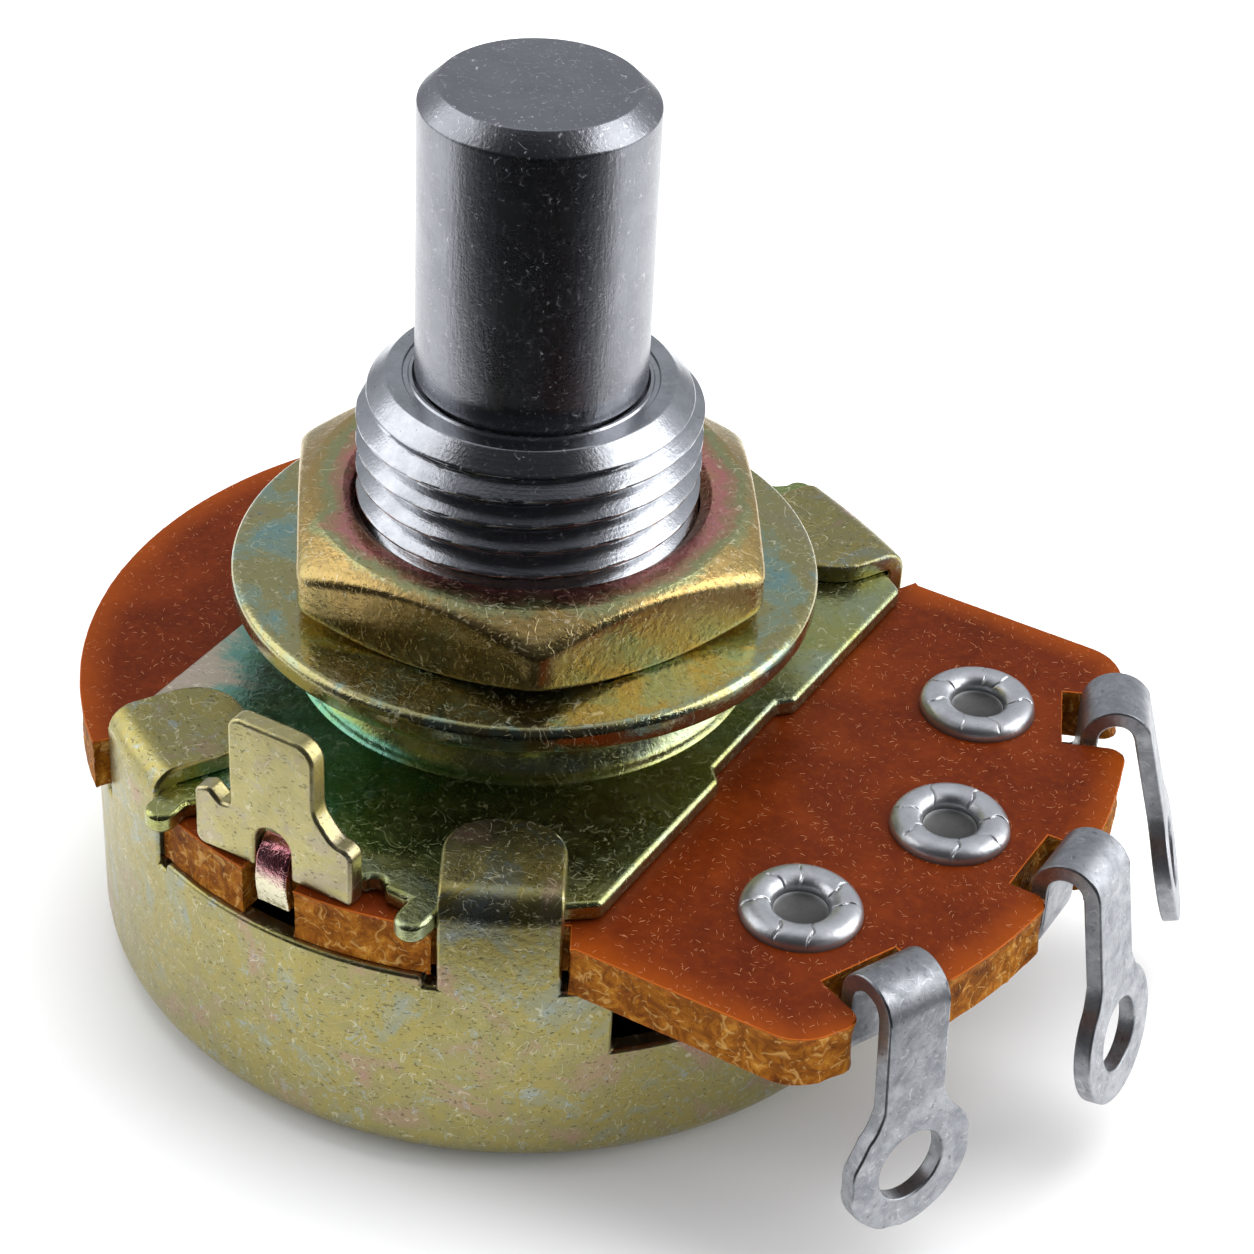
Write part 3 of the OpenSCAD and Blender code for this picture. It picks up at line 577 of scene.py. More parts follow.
def sheet(loops, thickness, place, cuts_u=(), cuts_v=(), cuts_w=(), drop=None):
    """A sheet cut to closed outlines in the plane, sliced, and put in place point by point.

    place(u, v, w) gives the position of a point at depth w below the sheet's face. The cuts slice
    it across u, v and w, so that it can bend there. drop picks the side faces that are left open."""
    bm = bmesh.new()
    rings = [[bm.verts.new((u, v, 0.0)) for u, v in loop] for loop in loops]
    if len(rings) == 1:
        bm.faces.new(rings[0])
    else:
        for ring in rings:
            for a, b in zip(ring, ring[1:] + ring[:1]):
                bm.edges.new((a, b))
        bmesh.ops.triangle_fill(bm, use_beauty=True, use_dissolve=False, edges=bm.edges[:])

    def slice_at(point, normal):
        parts = bm.verts[:] + bm.edges[:] + bm.faces[:]
        bmesh.ops.bisect_plane(bm, geom=parts, dist=1e-5, plane_co=point, plane_no=normal)

    for cut in cuts_u:
        slice_at((cut, 0, 0), (1, 0, 0))
    for cut in cuts_v:
        slice_at((0, cut, 0), (0, 1, 0))
    made = bmesh.ops.extrude_face_region(bm, geom=bm.faces[:])
    lower = [v for v in made["geom"] if isinstance(v, bmesh.types.BMVert)]
    bmesh.ops.translate(bm, verts=lower, vec=(0, 0, -thickness))
    for cut in cuts_w:
        slice_at((0, 0, -cut), (0, 0, 1))
    if drop:
        gone = [f for f in bm.faces if drop([v.co.copy() for v in f.verts])]
        bmesh.ops.delete(bm, geom=gone, context="FACES_ONLY")
    return put_in_place(bm, place)


def turned_by(points, degrees):
    """Points of the plane turned about its origin."""
    c, s = math.cos(math.radians(degrees)), math.sin(math.radians(degrees))
    return [(x * c - y * s, x * s + y * c) for x, y in points]


def smooth_least(a, b, softness):
    """The lesser of two lengths, with the crease between them rounded."""
    h = max(softness - abs(a - b), 0.0) / softness
    return min(a, b) - h * h * softness * 0.25


# Shaft, with the chamfer on its end and the grooves inside the boss
def make_shaft():
    neck_r = 2.975
    groove_r = 2.775
    seat = MOUTH_Z + 0.05
    profile = [(0.0005, 1.8), (groove_r - 0.3, 1.8), (groove_r, 2.1), (groove_r, 9.40)]
    profile += [(neck_r, 9.40), (neck_r, seat), (SHAFT_R - 0.04, seat)]
    profile += [(SHAFT_R, seat + 0.04), (SHAFT_R, SHAFT_TOP - 0.54 - 0.06)]
    profile += arc((SHAFT_R - 0.12, SHAFT_TOP - 0.56), 0.12, 0, 45, 3)
    profile += arc((SHAFT_R - 0.56, SHAFT_TOP - 0.10), 0.10, 45, 90, 3)
    profile += [(0.0005, SHAFT_TOP)]
    return new_piece("shaft_turned", turned(profile, 192), shaft_metal, sharp=30.0)


# Bushing: the thread is a ruled surface, so its tree moves the points of a grid
def bushing_tree():
    """A cylinder of grid points whose radius follows a thread, with a chamfered mouth."""
    tree = bpy.data.node_groups.new("threaded_bushing", "GeometryNodeTree")
    inputs = [("Major Radius", THREAD_R * MM), ("Thread Depth", THREAD_DEPTH * MM),
              ("Pitch", THREAD_PITCH * MM), ("Foot", BOSS_TOP * MM), ("Mouth", MOUTH_Z * MM),
              ("First Crest", FIRST_CREST_Z * MM)]
    for name, value in inputs:
        socket = tree.interface.new_socket(name, in_out="INPUT", socket_type="NodeSocketFloat")
        socket.default_value = value
    metal = tree.interface.new_socket("Metal", in_out="INPUT", socket_type="NodeSocketMaterial")
    metal.default_value = bushing_metal
    tree.interface.new_socket("Geometry", in_out="OUTPUT", socket_type="NodeSocketGeometry")
    given = add(tree, "NodeGroupInput").outputs

    def step(operation, a, b=0.0, c=0.0):
        return add(tree, "ShaderNodeMath", {0: a, 1: b, 2: c}, operation=operation).outputs[0]

    def ramp(value, low, high, to_low=0.0, to_high=1.0):
        return between(tree, value, low, high, to_low, to_high)

    def inwards(length):
        return step("SUBTRACT", given["Major Radius"], length * MM)

    round_count, up_count = 241, 221
    grid = add(tree, "GeometryNodeMeshGrid", {
        "Size X": 1.0, "Size Y": 1.0, "Vertices X": up_count, "Vertices Y": round_count})
    at = parts_of(tree, add(tree, "GeometryNodeInputPosition").outputs[0])
    up = step("ADD", at["X"], 0.5)
    turn = step("ADD", at["Y"], 0.5)
    angle = step("MULTIPLY", turn, 2 * math.pi)
    height = step("MULTIPLY_ADD", up, step("SUBTRACT", given["Mouth"], given["Foot"]), given["Foot"])
    # The phase is 0 on a crest; it slips by one pitch in a full turn
    travel = step("DIVIDE", step("SUBTRACT", height, given["First Crest"]), given["Pitch"])
    phase = step("FRACT", step("ADD", step("SUBTRACT", travel, turn), 20.5))
    off = step("ABSOLUTE", step("SUBTRACT", phase, 0.5))
    flank = ramp(off, 0.035, 0.47)
    start = step("ADD", given["Foot"], 0.1 * MM)
    below_mouth = step("SUBTRACT", given["Mouth"], height)
    # The thread fades out at the foot and in the short relief below the mouth
    fade_low = ramp(height, given["Foot"], start)
    depth = step("MULTIPLY", step("MULTIPLY", flank, given["Thread Depth"]), fade_low)
    threaded = step("SUBTRACT", given["Major Radius"], depth)
    chamfer = step("ADD", inwards(0.80), step("MULTIPLY", below_mouth, 1.05))
    shoulder = step("ADD", inwards(0.42),
                    step("MULTIPLY", ramp(below_mouth, 0.62 * MM, 0.98 * MM), 0.6 * MM))
    neck = step("ADD", inwards(0.26), ramp(below_mouth, 0.50 * MM, 0.62 * MM, 0.0, -0.16 * MM))
    upper = ramp(below_mouth, 0.60 * MM, 0.66 * MM)
    body = step("ADD", step("MULTIPLY", step("MINIMUM", threaded, shoulder), upper),
                step("MULTIPLY", neck, step("SUBTRACT", 1.0, upper)))
    radius = step("SMOOTH_MIN", body, chamfer, 0.06 * MM)
    on_wall = add(tree, "ShaderNodeCombineXYZ", {
        0: step("MULTIPLY", radius, step("COSINE", angle)),
        1: step("MULTIPLY", radius, step("SINE", angle)),
        2: height})
    wall = add(tree, "GeometryNodeSetPosition", {
        "Geometry": grid.outputs["Mesh"], "Position": on_wall.outputs[0]})
    joined = add(tree, "GeometryNodeMergeByDistance", {
        "Geometry": wall.outputs[0], "Distance": 0.001 * MM})
    plain = add(tree, "GeometryNodeRealizeInstances", {"Geometry": joined.outputs[0]})
    dressed = add(tree, "GeometryNodeSetMaterial", {
        "Geometry": plain.outputs[0], "Material": given["Metal"]})
    smooth = add(tree, "GeometryNodeSetShadeSmooth", {"Geometry": dressed.outputs[0]})
    add(tree, "NodeGroupOutput", {"Geometry": smooth.outputs[0]})
    return tree


def grown(name, tree, base=None):
    """Runs a geometry tree on an object and returns its result as a plain mesh object."""
    data = base or bpy.data.meshes.new(name + "_seed")
    seed = bpy.data.objects.new(name, data)
    bpy.context.scene.collection.objects.link(seed)
    modifier = seed.modifiers.new("build", "NODES")
    modifier.node_group = tree
    for socket in tree.interface.items_tree:
        if socket.in_out == "INPUT" and socket.socket_type != "NodeSocketGeometry":
            modifier[socket.identifier] = socket.default_value
    graph = bpy.context.evaluated_depsgraph_get()
    result = bpy.data.meshes.new_from_object(seed.evaluated_get(graph))
    seed.modifiers.remove(modifier)
    result.name = name
    seed.data = result
    return seed


def make_bushing():
    wall = grown("bushing_threaded", bushing_tree())
    rim_r = THREAD_R - 0.80
    foot_r = THREAD_R - 0.5
    # The mouth has a shallow turned groove between two faces
    profile = [(rim_r + 0.004, MOUTH_Z - 0.004), (rim_r - 0.03, MOUTH_Z), (3.52, MOUTH_Z)]
    profile += [(3.48, MOUTH_Z - 0.05), (3.36, MOUTH_Z - 0.05), (3.32, MOUTH_Z), (3.24, MOUTH_Z)]
    profile += [(3.20, MOUTH_Z - 0.12), (SHAFT_BORE_R, MOUTH_Z - 0.2), (SHAFT_BORE_R, BOSS_TOP - 1.0)]
    profile += [(4.81, BOSS_TOP - 1.0), (4.81, BOSS_TOP - 0.6), (foot_r, BOSS_TOP - 0.6)]
    profile += [(foot_r, BOSS_TOP), (THREAD_R, BOSS_TOP)]
    bm = grid_shell([circle_row(r, z, 240) for r, z in profile])
    bm.from_mesh(wall.data)
    bpy.data.objects.remove(wall)
    bmesh.ops.remove_doubles(bm, verts=bm.verts, dist=0.006 * MM)
    return new_piece("bushing_threaded", bm, bushing_metal, sharp=40.0)


# Nut: every point of its outside is the least of the hexagon and the two bevels
def make_nut():
    flat = NUT_AF / 2
    hole = THREAD_R + 0.04
    steps = 360

    def hexagon(angle):
        off_middle = (angle - math.radians(NUT_ANGLE)) % (math.pi / 3) - math.pi / 6
        sharp = flat / math.cos(off_middle)
        return smooth_least(sharp, flat / math.cos(math.pi / 6) - 0.10, 0.16)

    rows = [circle_row(hole, NUT_Z + 0.25, steps), circle_row(hole + 0.25, NUT_Z, steps)]
    rows.append(circle_row(6.0, NUT_Z, steps))
    # Rows lie close together near both faces, where the bevels meet the flats in curves
    levels = [0.0, 0.01, 0.03, 0.06, 0.1, 0.15, 0.2, 0.27, 0.35, 0.45, 0.55, 0.65, 0.75]
    between_levels = [0.75 + 0.84 * k / 8 for k in range(1, 8)]
    for z in levels + between_levels + [NUT_H - v for v in reversed(levels)]:
        upper = 6.06 + (NUT_H - z) * 1.95
        lower = 6.22 + z * 2.0
        soft = 0.10 + 0.6 * min(z, NUT_H - z, 0.5)
        row = []
        for k in range(steps):
            angle = 2 * math.pi * k / steps
            r = smooth_least(smooth_least(hexagon(angle), upper, soft), lower, soft)
            row.append((r * math.cos(angle), r * math.sin(angle), NUT_Z + z))
        rows.append(row)
    for r, z in ((5.6, 0.0), (hole + 0.34, 0.0), (hole + 0.28, 0.03), (hole, 0.27)):
        rows.append(circle_row(r, NUT_Z + NUT_H - z, steps))
    bm = grid_shell(rows, closed_rows=True)
    return new_piece("nut_chamfered", bm, nut_zinc, sharp=42.0)


def make_washer():
    hole = THREAD_R + 0.2
    z = BOSS_TOP
    profile = [(hole, z + 0.05), (hole + 0.05, z), (WASHER_R - 0.12, z)]
    profile += arc((WASHER_R - 0.1, z + 0.1), 0.1, -90, 0, 3)
    profile += arc((WASHER_R - 0.26, z + WASHER_T - 0.26), 0.26, 0, 90, 7)
    profile += [(hole + 0.08, z + WASHER_T), (hole, z + WASHER_T - 0.08)]
    return new_piece("washer_flat", turned(profile, 240), washer_zinc, sharp=30.0)


# Cover plate: outline of the sheet, with ears, reliefs and recesses for the tabs
def plate_outline():
    """The plate seen from above, drawn as one loop against the clock from its front lower corner."""
    trim_r = CASE_R - 0.6
    corner_y = math.sqrt(trim_r * trim_r - PLATE_FRONT * PLATE_FRONT)
    trim_x = PLATE_FRONT - 1.2

    def on_recess(index, x):
        """The point with the given X on the straight recess at a tab."""
        angle = math.radians(TABS[index][0])
        return (x, (TAB_CUT_R - x * math.cos(angle)) / math.sin(angle))

    far_end = FAR_EAR_X - EAR_R - 0.3
    lug_end = LUG_EAR_X - EAR_R
    left, right = LUG_X - 2.5, LUG_X + 2.5
    # The front edge steps back a little at its middle
    step_x = PLATE_FRONT - 0.4
    loop = [(PLATE_FRONT, -corner_y), (PLATE_FRONT, -2.35), (step_x, -1.95), (step_x, 1.65)]
    loop += [(PLATE_FRONT, 2.05)]
    loop += [(PLATE_FRONT, corner_y), (trim_x, math.sqrt(trim_r * trim_r - trim_x * trim_x))]
    loop += [on_recess(2, FAR_EAR_X + EAR_R)]
    loop += arc((FAR_EAR_X, EAR_Y), EAR_R, 0, 180, 10)
    loop += [(far_end, FOLD_Y + 0.3), (-far_end, FOLD_Y + 0.3)]
    loop += arc((-FAR_EAR_X, EAR_Y), EAR_R, 0, 180, 10)
    loop += [on_recess(3, -FAR_EAR_X - EAR_R), on_recess(3, -PLATE_REAR)]
    loop += [on_recess(1, -PLATE_REAR), on_recess(1, -LUG_EAR_X - EAR_R)]
    loop += arc((-LUG_EAR_X, -EAR_Y), EAR_R, 180, 360, 10)
    loop += [(-lug_end, -FOLD_Y)]
    loop += arc((left - 0.30, -FOLD_Y), 0.30, 180, 0, 8)[1:]
    loop += arc((right + 0.30, -FOLD_Y), 0.30, 180, 0, 8)
    loop += [(lug_end, -FOLD_Y)]
    loop += arc((LUG_EAR_X, -EAR_Y), EAR_R, 180, 360, 10)
    loop += [on_recess(0, LUG_EAR_X + EAR_R)]
    loop += [(trim_x, -math.sqrt(trim_r * trim_r - trim_x * trim_x))]
    return loop


def make_plate():
    """The cover plate as four pieces: the sheet, its drawn boss, the bent-up lug and the tongue."""
    bm = sheet([plate_outline()], PLATE_T, lambda u, v, w: (u, v, PLATE_TOP - w))
    cover = new_piece("cover_sheet", bm, plate_zinc, sharp=35.0, bevel=0.16, steps=4)
    flare_r = BOSS_R + 0.05
    profile = [(BOSS_R - 0.9, PLATE_TOP - 0.5), (BOSS_R + 0.12, PLATE_TOP - 0.3)]
    profile += [(BOSS_R + 0.12, PLATE_TOP + 0.01), (flare_r, PLATE_TOP + 0.09)]
    for k in range(1, 9):
        up = k / 8
        inwards = 0.32 * up + 0.10 * math.sin(math.pi * up / 2)
        profile.append((flare_r - inwards, PLATE_TOP + 0.09 + 0.62 * up ** 1.6))
    profile += arc((BOSS_R - 0.95, BOSS_TOP - 0.55), 0.55, 0, 90, 8)
    profile += [(4.3, BOSS_TOP), (4.3, BOSS_TOP - PLATE_T), (BOSS_R - PLATE_T, BOSS_TOP - PLATE_T)]
    boss = new_piece("cover_boss", turned(profile, 240), plate_zinc, sharp=40.0)
    face = -FOLD_Y - LUG_T
    bm = sheet([lug_outline()], LUG_T, lambda u, v, w: (LUG_X + u, face + w, PLATE_TOP + v))
    lug = new_piece("locating_lug", bm, lug_zinc, sharp=35.0, bevel=0.12, steps=4)
    bm = bent_strip(tongue_path(), TONGUE_W, TONGUE_T, LUG_X)
    tongue = new_piece("locating_tongue", bm, tongue_zinc, sharp=35.0, bevel=0.09)
    return [cover, boss, lug, tongue]


def lug_outline():
    """The locating lug seen from the front: a blade on two shoulders, with a window at its foot."""
    half, foot, shoulder, top = 1.35, 2.5, 1.15, 4.05
    base = -PLATE_T
    window = 0.56
    # Each corner has its place and the radius of its rounding
    corners = [(half, top, 0.62), (-half, top, 0.42), (-half, shoulder - 0.04, 0.16),
               (-half - 0.30, shoulder - 0.10, 0.14), (-foot + 0.46, shoulder + 0.26, 0.24),
               (-foot, shoulder + 0.04, 0.24), (-foot, base, 0.32), (-window, base, 0.0)]
    corners += [(u, v, 0.0) for u, v in arc((0, window / 2), window, 180, 0, 12)]
    corners += [(window, base, 0.0), (foot, base, 0.14), (foot, shoulder, 0.36),
                (half + 0.55, shoulder + 0.10, 0.55), (half, shoulder + 0.78, 0.75)]
    return rounded([(u, v) for u, v, r in corners], [r for u, v, r in corners], 6)


def tongue_path():
    """The tongue seen from the side: out of the window and down into the notch of the wafer."""
    face = -FOLD_Y - LUG_T
    steps = [(0.55, 0.34), (0.32, 0.26), (0.12, 0.10), (-0.03, -0.14), (-0.10, -0.45), (-0.14, -0.80),
             (-0.12, -1.15), (-0.06, -1.45), (-0.03, -1.70)]
    return [(face + out, PLATE_TOP + up) for out, up in steps]


def bent_strip(path, width, thickness, x):
    """A strip that follows points of Y and Z, a little narrower at its middle, thick towards +Y."""
    rows = []
    for i, (y, z) in enumerate(path):
        before, after = path[max(i - 1, 0)], path[min(i + 1, len(path) - 1)]
        along = Vector((after[0] - before[0], after[1] - before[1])).normalized()
        side = Vector((-along.y, along.x))
        if side.x < 0:
            side = -side
        inner_y, inner_z = y + side.x * thickness, z + side.y * thickness
        half = width / 2 - 0.036 * math.sin(math.pi * i / (len(path) - 1))
        rows.append([(x - half, y, z), (x + half, y, z),
                     (x + half, inner_y, inner_z), (x - half, inner_y, inner_z)])
    bm = grid_shell(rows)
    bm.verts.ensure_lookup_table()
    bm.faces.new(bm.verts[0:4])
    bm.faces.new(bm.verts[-4:])
    return bm


# Case: one sheet, drawn unrolled, from the middle of the back up the wall and over into the tabs
def make_case():
    r = CASE_R
    arc_len = CASE_ROUND * math.pi / 2
    back_len = r - CASE_ROUND
    wall_z = CASE_ROUND
    bend = CASE_FOLD_R + CASE_T
    bend_z = PLATE_TOP - CASE_FOLD_R
    bend_len = bend * math.pi / 2
    flat_len = (r - bend) - (r - TAB_REACH)
    full = 2 * math.pi * r

    def along(angle):
        """Distance round the wall from the seam, which lies on the far side from the terminals."""
        return (math.radians(angle) + math.pi) * r

    # Upper edge of the sheet, from the seam round to the seam
    rim = CASE_H
    window = math.degrees(math.asin(WINDOW_HALF / r))
    tip = bend_z + bend_len + flat_len
    edge = [(0.0, rim)]
    for centre, width in sorted(TABS):
        mid = along(centre)
        half = width / 2
        # The window below the terminal board comes just before the first tab of the far side
        if 0 < centre < 90:
            edge += [(along(-window), rim), (along(-window), WINDOW_Z)]
            edge += [(along(window), WINDOW_Z), (along(window), rim)]
        edge += [(mid - half - 0.42, rim), (mid - half - 0.34, rim - 0.3), (mid - half, rim - 0.3)]
        corner = half * 0.84
        edge += [(mid - half, tip - corner)]
        edge += arc((mid - half + corner, tip - corner), corner, 180, 90, 9)[1:]
        edge += arc((mid + half - corner, tip - corner), corner, 90, 0, 9)
        edge += [(mid + half, rim - 0.3), (mid + half + 0.34, rim - 0.3), (mid + half + 0.42, rim)]
    edge += [(full, rim)]
    low = wall_z - arc_len - back_len
    outline = [(0.0, low), (full, low)] + list(reversed(edge))

    def place(u, v, w):
        angle = u / r - math.pi
        if v >= bend_z - 1e-6:
            centre, width = min(TABS, key=lambda tab: abs(along(tab[0]) - u))
            side = u - along(centre)
            if v < bend_z + bend_len:
                turn = (v - bend_z) / bend
                out = r - bend + (bend - w) * math.cos(turn)
                z = bend_z + (bend - w) * math.sin(turn)
            else:
                turn = math.pi / 2
                out = r - bend - (v - bend_z - bend_len)
                z = bend_z + bend - w
            # A tab leaves the round wall curved and ends flat
            sag = r - math.sqrt(r * r - side * side)
            out -= sag * (1 - turn / (math.pi / 2))
            return (*turned_by([(out, side)], centre)[0], z)
        if v >= wall_z:
            out, z = r - w, v
        elif v >= wall_z - arc_len:
            turn = (wall_z - v) / CASE_ROUND
            out = r - CASE_ROUND + (CASE_ROUND - w) * math.cos(turn)
            z = wall_z - (CASE_ROUND - w) * math.sin(turn)
        else:
            left = (v - low) / back_len
            out, z = (r - CASE_ROUND) * left, w
        return (out * math.cos(angle), out * math.sin(angle), z)

    cuts_u = [full * k / 120 for k in range(1, 120)]
    cuts_v = [wall_z - arc_len * k / 7 for k in range(8)]
    cuts_v += [wall_z - arc_len - back_len * k / 3 for k in range(1, 3)]
    cuts_v += [bend_z + bend_len * k / 7 for k in range(8)] + [2.4, 3.6, 5.0, 6.2]

    def seam(corners):
        """Side faces at the seam and at the middle of the back, which the closed cup doesn't have."""
        at_seam = all(c.x < 1e-4 for c in corners) or all(c.x > full - 1e-4 for c in corners)
        at_middle = all(c.y < low + 1e-4 for c in corners)
        return at_seam or at_middle

    bm = sheet([outline], CASE_T, place, cuts_u, cuts_v, drop=seam)
    return new_piece("case_drawn", bm, case_zinc, sharp=40.0, bevel=0.12)


# Wafer: outline with its notches, cut edges left a little ragged
def make_wafer():
    corner_y = BOARD_HALF - BOARD_CORNER
    corner_x = math.sqrt((BOARD_R - BOARD_CORNER) ** 2 - corner_y ** 2)
    at = math.degrees(math.atan2(corner_y, corner_x))
    notch_half = TERM_W / 2 + 0.2
    notch_round = 0.5
    half_notch = math.degrees(math.asin((notch_half + notch_round) / BOARD_R))
    join = math.degrees(math.asin(BOARD_HALF / WAFER_R))

    def on_circle(radius, start, end, step=1.5):
        count = max(2, int(abs(end - start) / step))
        return arc((0, 0), radius, start, end, count)

    def notch(n):
        """A terminal notch, from its right side seen from the middle to its left."""
        foot = ARCH_FOOT[n] - 0.5
        lip = math.sqrt(BOARD_R ** 2 - (notch_half + notch_round) ** 2) - notch_round
        points = arc((lip, -notch_half - notch_round), notch_round, 0, 90, 5)
        points += [(foot, -notch_half), (foot, notch_half)]
        points += arc((lip, notch_half + notch_round), notch_round, -90, 0, 5)
        return turned_by(points, TERM_ANGLES[n])

    def tab_gap(centre, width, before, after):
        """The recess of a tab of the case between two radii, and half the angle it takes up."""
        half = width / 2 + 0.14
        first = math.sqrt(before ** 2 - half ** 2)
        last = math.sqrt(after ** 2 - half ** 2)
        local = [(first, -half), (TAB_CUT_R, -half), (TAB_CUT_R, half), (last, half)]
        return turned_by(local, centre), math.degrees(math.asin(half / WAFER_R))

    def end_point(x):
        return (x, -math.sqrt(END_R ** 2 - x ** 2))

    # Terminal board, from the lug side against the clock
    loop = [(corner_x, -BOARD_HALF)]
    loop += arc((corner_x, -corner_y), BOARD_CORNER, -90, -at, 6)[1:]
    start = -at
    for n, phi in enumerate(TERM_ANGLES):
        loop += on_circle(BOARD_R, start, phi - half_notch)[1:-1]
        loop += notch(n)
        start = phi + half_notch
    loop += on_circle(BOARD_R, start, at)[1:-1]
    loop += arc((corner_x, corner_y), BOARD_CORNER, at, 90, 6)
    loop += [(math.sqrt(WAFER_R ** 2 - BOARD_HALF ** 2), BOARD_HALF)]
    # Round part, with its recesses for the tabs and the notch for the tongue
    angle = join
    left, right = LUG_X - TONGUE_W / 2 - 0.25, LUG_X + TONGUE_W / 2 + 0.25
    deep = FOLD_Y - 0.4
    for index in (2, 3, 1, 0):
        centre, width = TABS[index]
        centre %= 360
        radius = END_R if index in (3, 0) else WAFER_R
        points, half = tab_gap(centre, width, radius, END_R + WAFER_R - radius)
        if index == 0:
            ends = [end_point(left), end_point(right)]
            side_left, side_right = [math.degrees(math.atan2(y, x)) % 360 for x, y in ends]
            loop += on_circle(radius, angle + 0.3, side_left)[:-1]
            loop += [ends[0], (left, -deep), (right, -deep), ends[1]]
            loop += on_circle(radius, side_right, centre - half - 0.2)[1:]
        else:
            loop += on_circle(radius, angle + 0.3, centre - half - 0.2)
        loop += points
        angle = centre + half
    loop += on_circle(WAFER_R, angle + 0.3, 360 - join)
    # The outline is cut into short steps that know their way inwards, so that the cut can be ragged
    inward = {}
    fine = []
    edges = list(zip(loop, loop[1:] + loop[:1]))
    sides = [Vector((a[1] - b[1], b[0] - a[0])).normalized() for a, b in edges]
    for i, (a, b) in enumerate(edges):
        count = max(1, int(math.hypot(b[0] - a[0], b[1] - a[1]) / 0.16))
        for k in range(count):
            x, y = a[0] + (b[0] - a[0]) * k / count, a[1] + (b[1] - a[1]) * k / count
            fine.append((x, y))
            inward[(round(x, 4), round(y, 4))] = sides[i] if k else (sides[i] + sides[i - 1]) / 2
    holes = []
    for n, phi in enumerate(TERM_ANGLES):
        centre = turned_by([(EYELET_AT[n], 0.0)], phi)[0]
        holes.append(arc(centre, RIVET_HOLE_R, 0, 360 - 11.25, 31))
    middle = arc((0, 0), WAFER_HOLE_R, 0, 360 - 3.75, 95)

    def place(u, v, w):
        normal = inward.get((round(u, 4), round(v, 4)), Vector((0, 0)))
        rough = 0.5 + 0.5 * ripple.noise(Vector((u * 2.3, v * 2.3, w * 2.6)))
        crumb = 0.5 + 0.5 * ripple.noise(Vector((u * 5.0, v * 5.0, w * 5.0 + 9)))
        depth = (0.10 * rough + 0.06 * crumb) * min(1.0, 0.12 + 3 * w, 0.3 + 3 * (WAFER_T - w))
        return (u + normal.x * depth, v + normal.y * depth, PLATE_Z - w)

    layers = [0.1 + 0.2 * k for k in range(8)]
    bm = sheet([fine] + holes + [middle], WAFER_T, place, cuts_w=layers)
    return new_piece("wafer_board", bm, wafer_laminate, sharp=60.0, bevel=0.04, steps=1)


# Lint: short pale paper fibres that show in the resin of the wafer's face
def lint_tree():
    """Scatters short bent fibres over the upper faces of a mesh."""
    tree = bpy.data.node_groups.new("paper_lint", "GeometryNodeTree")
    tree.interface.new_socket("Geometry", in_out="INPUT", socket_type="NodeSocketGeometry")
    inputs = [("Fibres per Area", "Float", 1.3e7), ("Fibre Length", "Float", 0.13 * MM),
              ("Fibre Radius", "Float", 0.007 * MM), ("Face Height", "Float", PLATE_Z * MM),
              ("Seed", "Int", 5), ("Paper", "Material", lint_paper)]
    for name, kind, value in inputs:
        socket = tree.interface.new_socket(name, in_out="INPUT", socket_type="NodeSocket" + kind)
        socket.default_value = value
    tree.interface.new_socket("Geometry", in_out="OUTPUT", socket_type="NodeSocketGeometry")
    given = add(tree, "NodeGroupInput").outputs
    height = parts_of(tree, add(tree, "GeometryNodeInputPosition").outputs[0])["Z"]
    just_below = calc(tree, "SUBTRACT", given["Face Height"], 0.002 * MM)
    above = calc(tree, "GREATER_THAN", height, just_below)
    spots = add(tree, "GeometryNodeDistributePointsOnFaces", {
        "Mesh": given["Geometry"], "Selection": above,
        "Density": given["Fibres per Area"], "Seed": given["Seed"]})
    half = calc(tree, "MULTIPLY", given["Fibre Length"], 0.5)
    bow = calc(tree, "MULTIPLY", given["Fibre Length"], 0.16)
    curve = add(tree, "GeometryNodeCurveQuadraticBezier", {
        "Resolution": 4,
        "Start": add(tree, "ShaderNodeCombineXYZ", {
            0: calc(tree, "MULTIPLY", half, -1.0)}).outputs[0],
        "Middle": add(tree, "ShaderNodeCombineXYZ", {1: bow}).outputs[0],
        "End": add(tree, "ShaderNodeCombineXYZ", {0: half}).outputs[0]})
    section = add(tree, "GeometryNodeCurvePrimitiveCircle", {
        "Resolution": 3, "Radius": given["Fibre Radius"]})
    fibre = add(tree, "GeometryNodeCurveToMesh", {
        "Curve": curve.outputs[0], "Profile Curve": section.outputs["Curve"], "Fill Caps": True})
    turn = add(tree, "FunctionNodeRandomValue", {"Max": 6.2832, "Seed": 11})
    size = add(tree, "FunctionNodeRandomValue", {"Min": 0.25, "Max": 1.25, "Seed": 12})
    angle = [socket for socket in turn.outputs if socket.enabled][0]
    scale = [socket for socket in size.outputs if socket.enabled][0]
    laid = add(tree, "GeometryNodeInstanceOnPoints", {
        "Points": spots.outputs["Points"], "Instance": fibre.outputs[0],
        "Rotation": add(tree, "ShaderNodeCombineXYZ", {2: angle}).outputs[0],
        "Scale": add(tree, "ShaderNodeCombineXYZ", {0: scale, 1: scale, 2: 1.0}).outputs[0]})
    plain = add(tree, "GeometryNodeRealizeInstances", {"Geometry": laid.outputs[0]})
    dressed = add(tree, "GeometryNodeSetMaterial", {
        "Geometry": plain.outputs[0], "Material": given["Paper"]})
    add(tree, "NodeGroupOutput", {"Geometry": dressed.outputs[0]})
    return tree


def make_lint(board):
    return grown("wafer_lint", lint_tree(), board.data.copy())


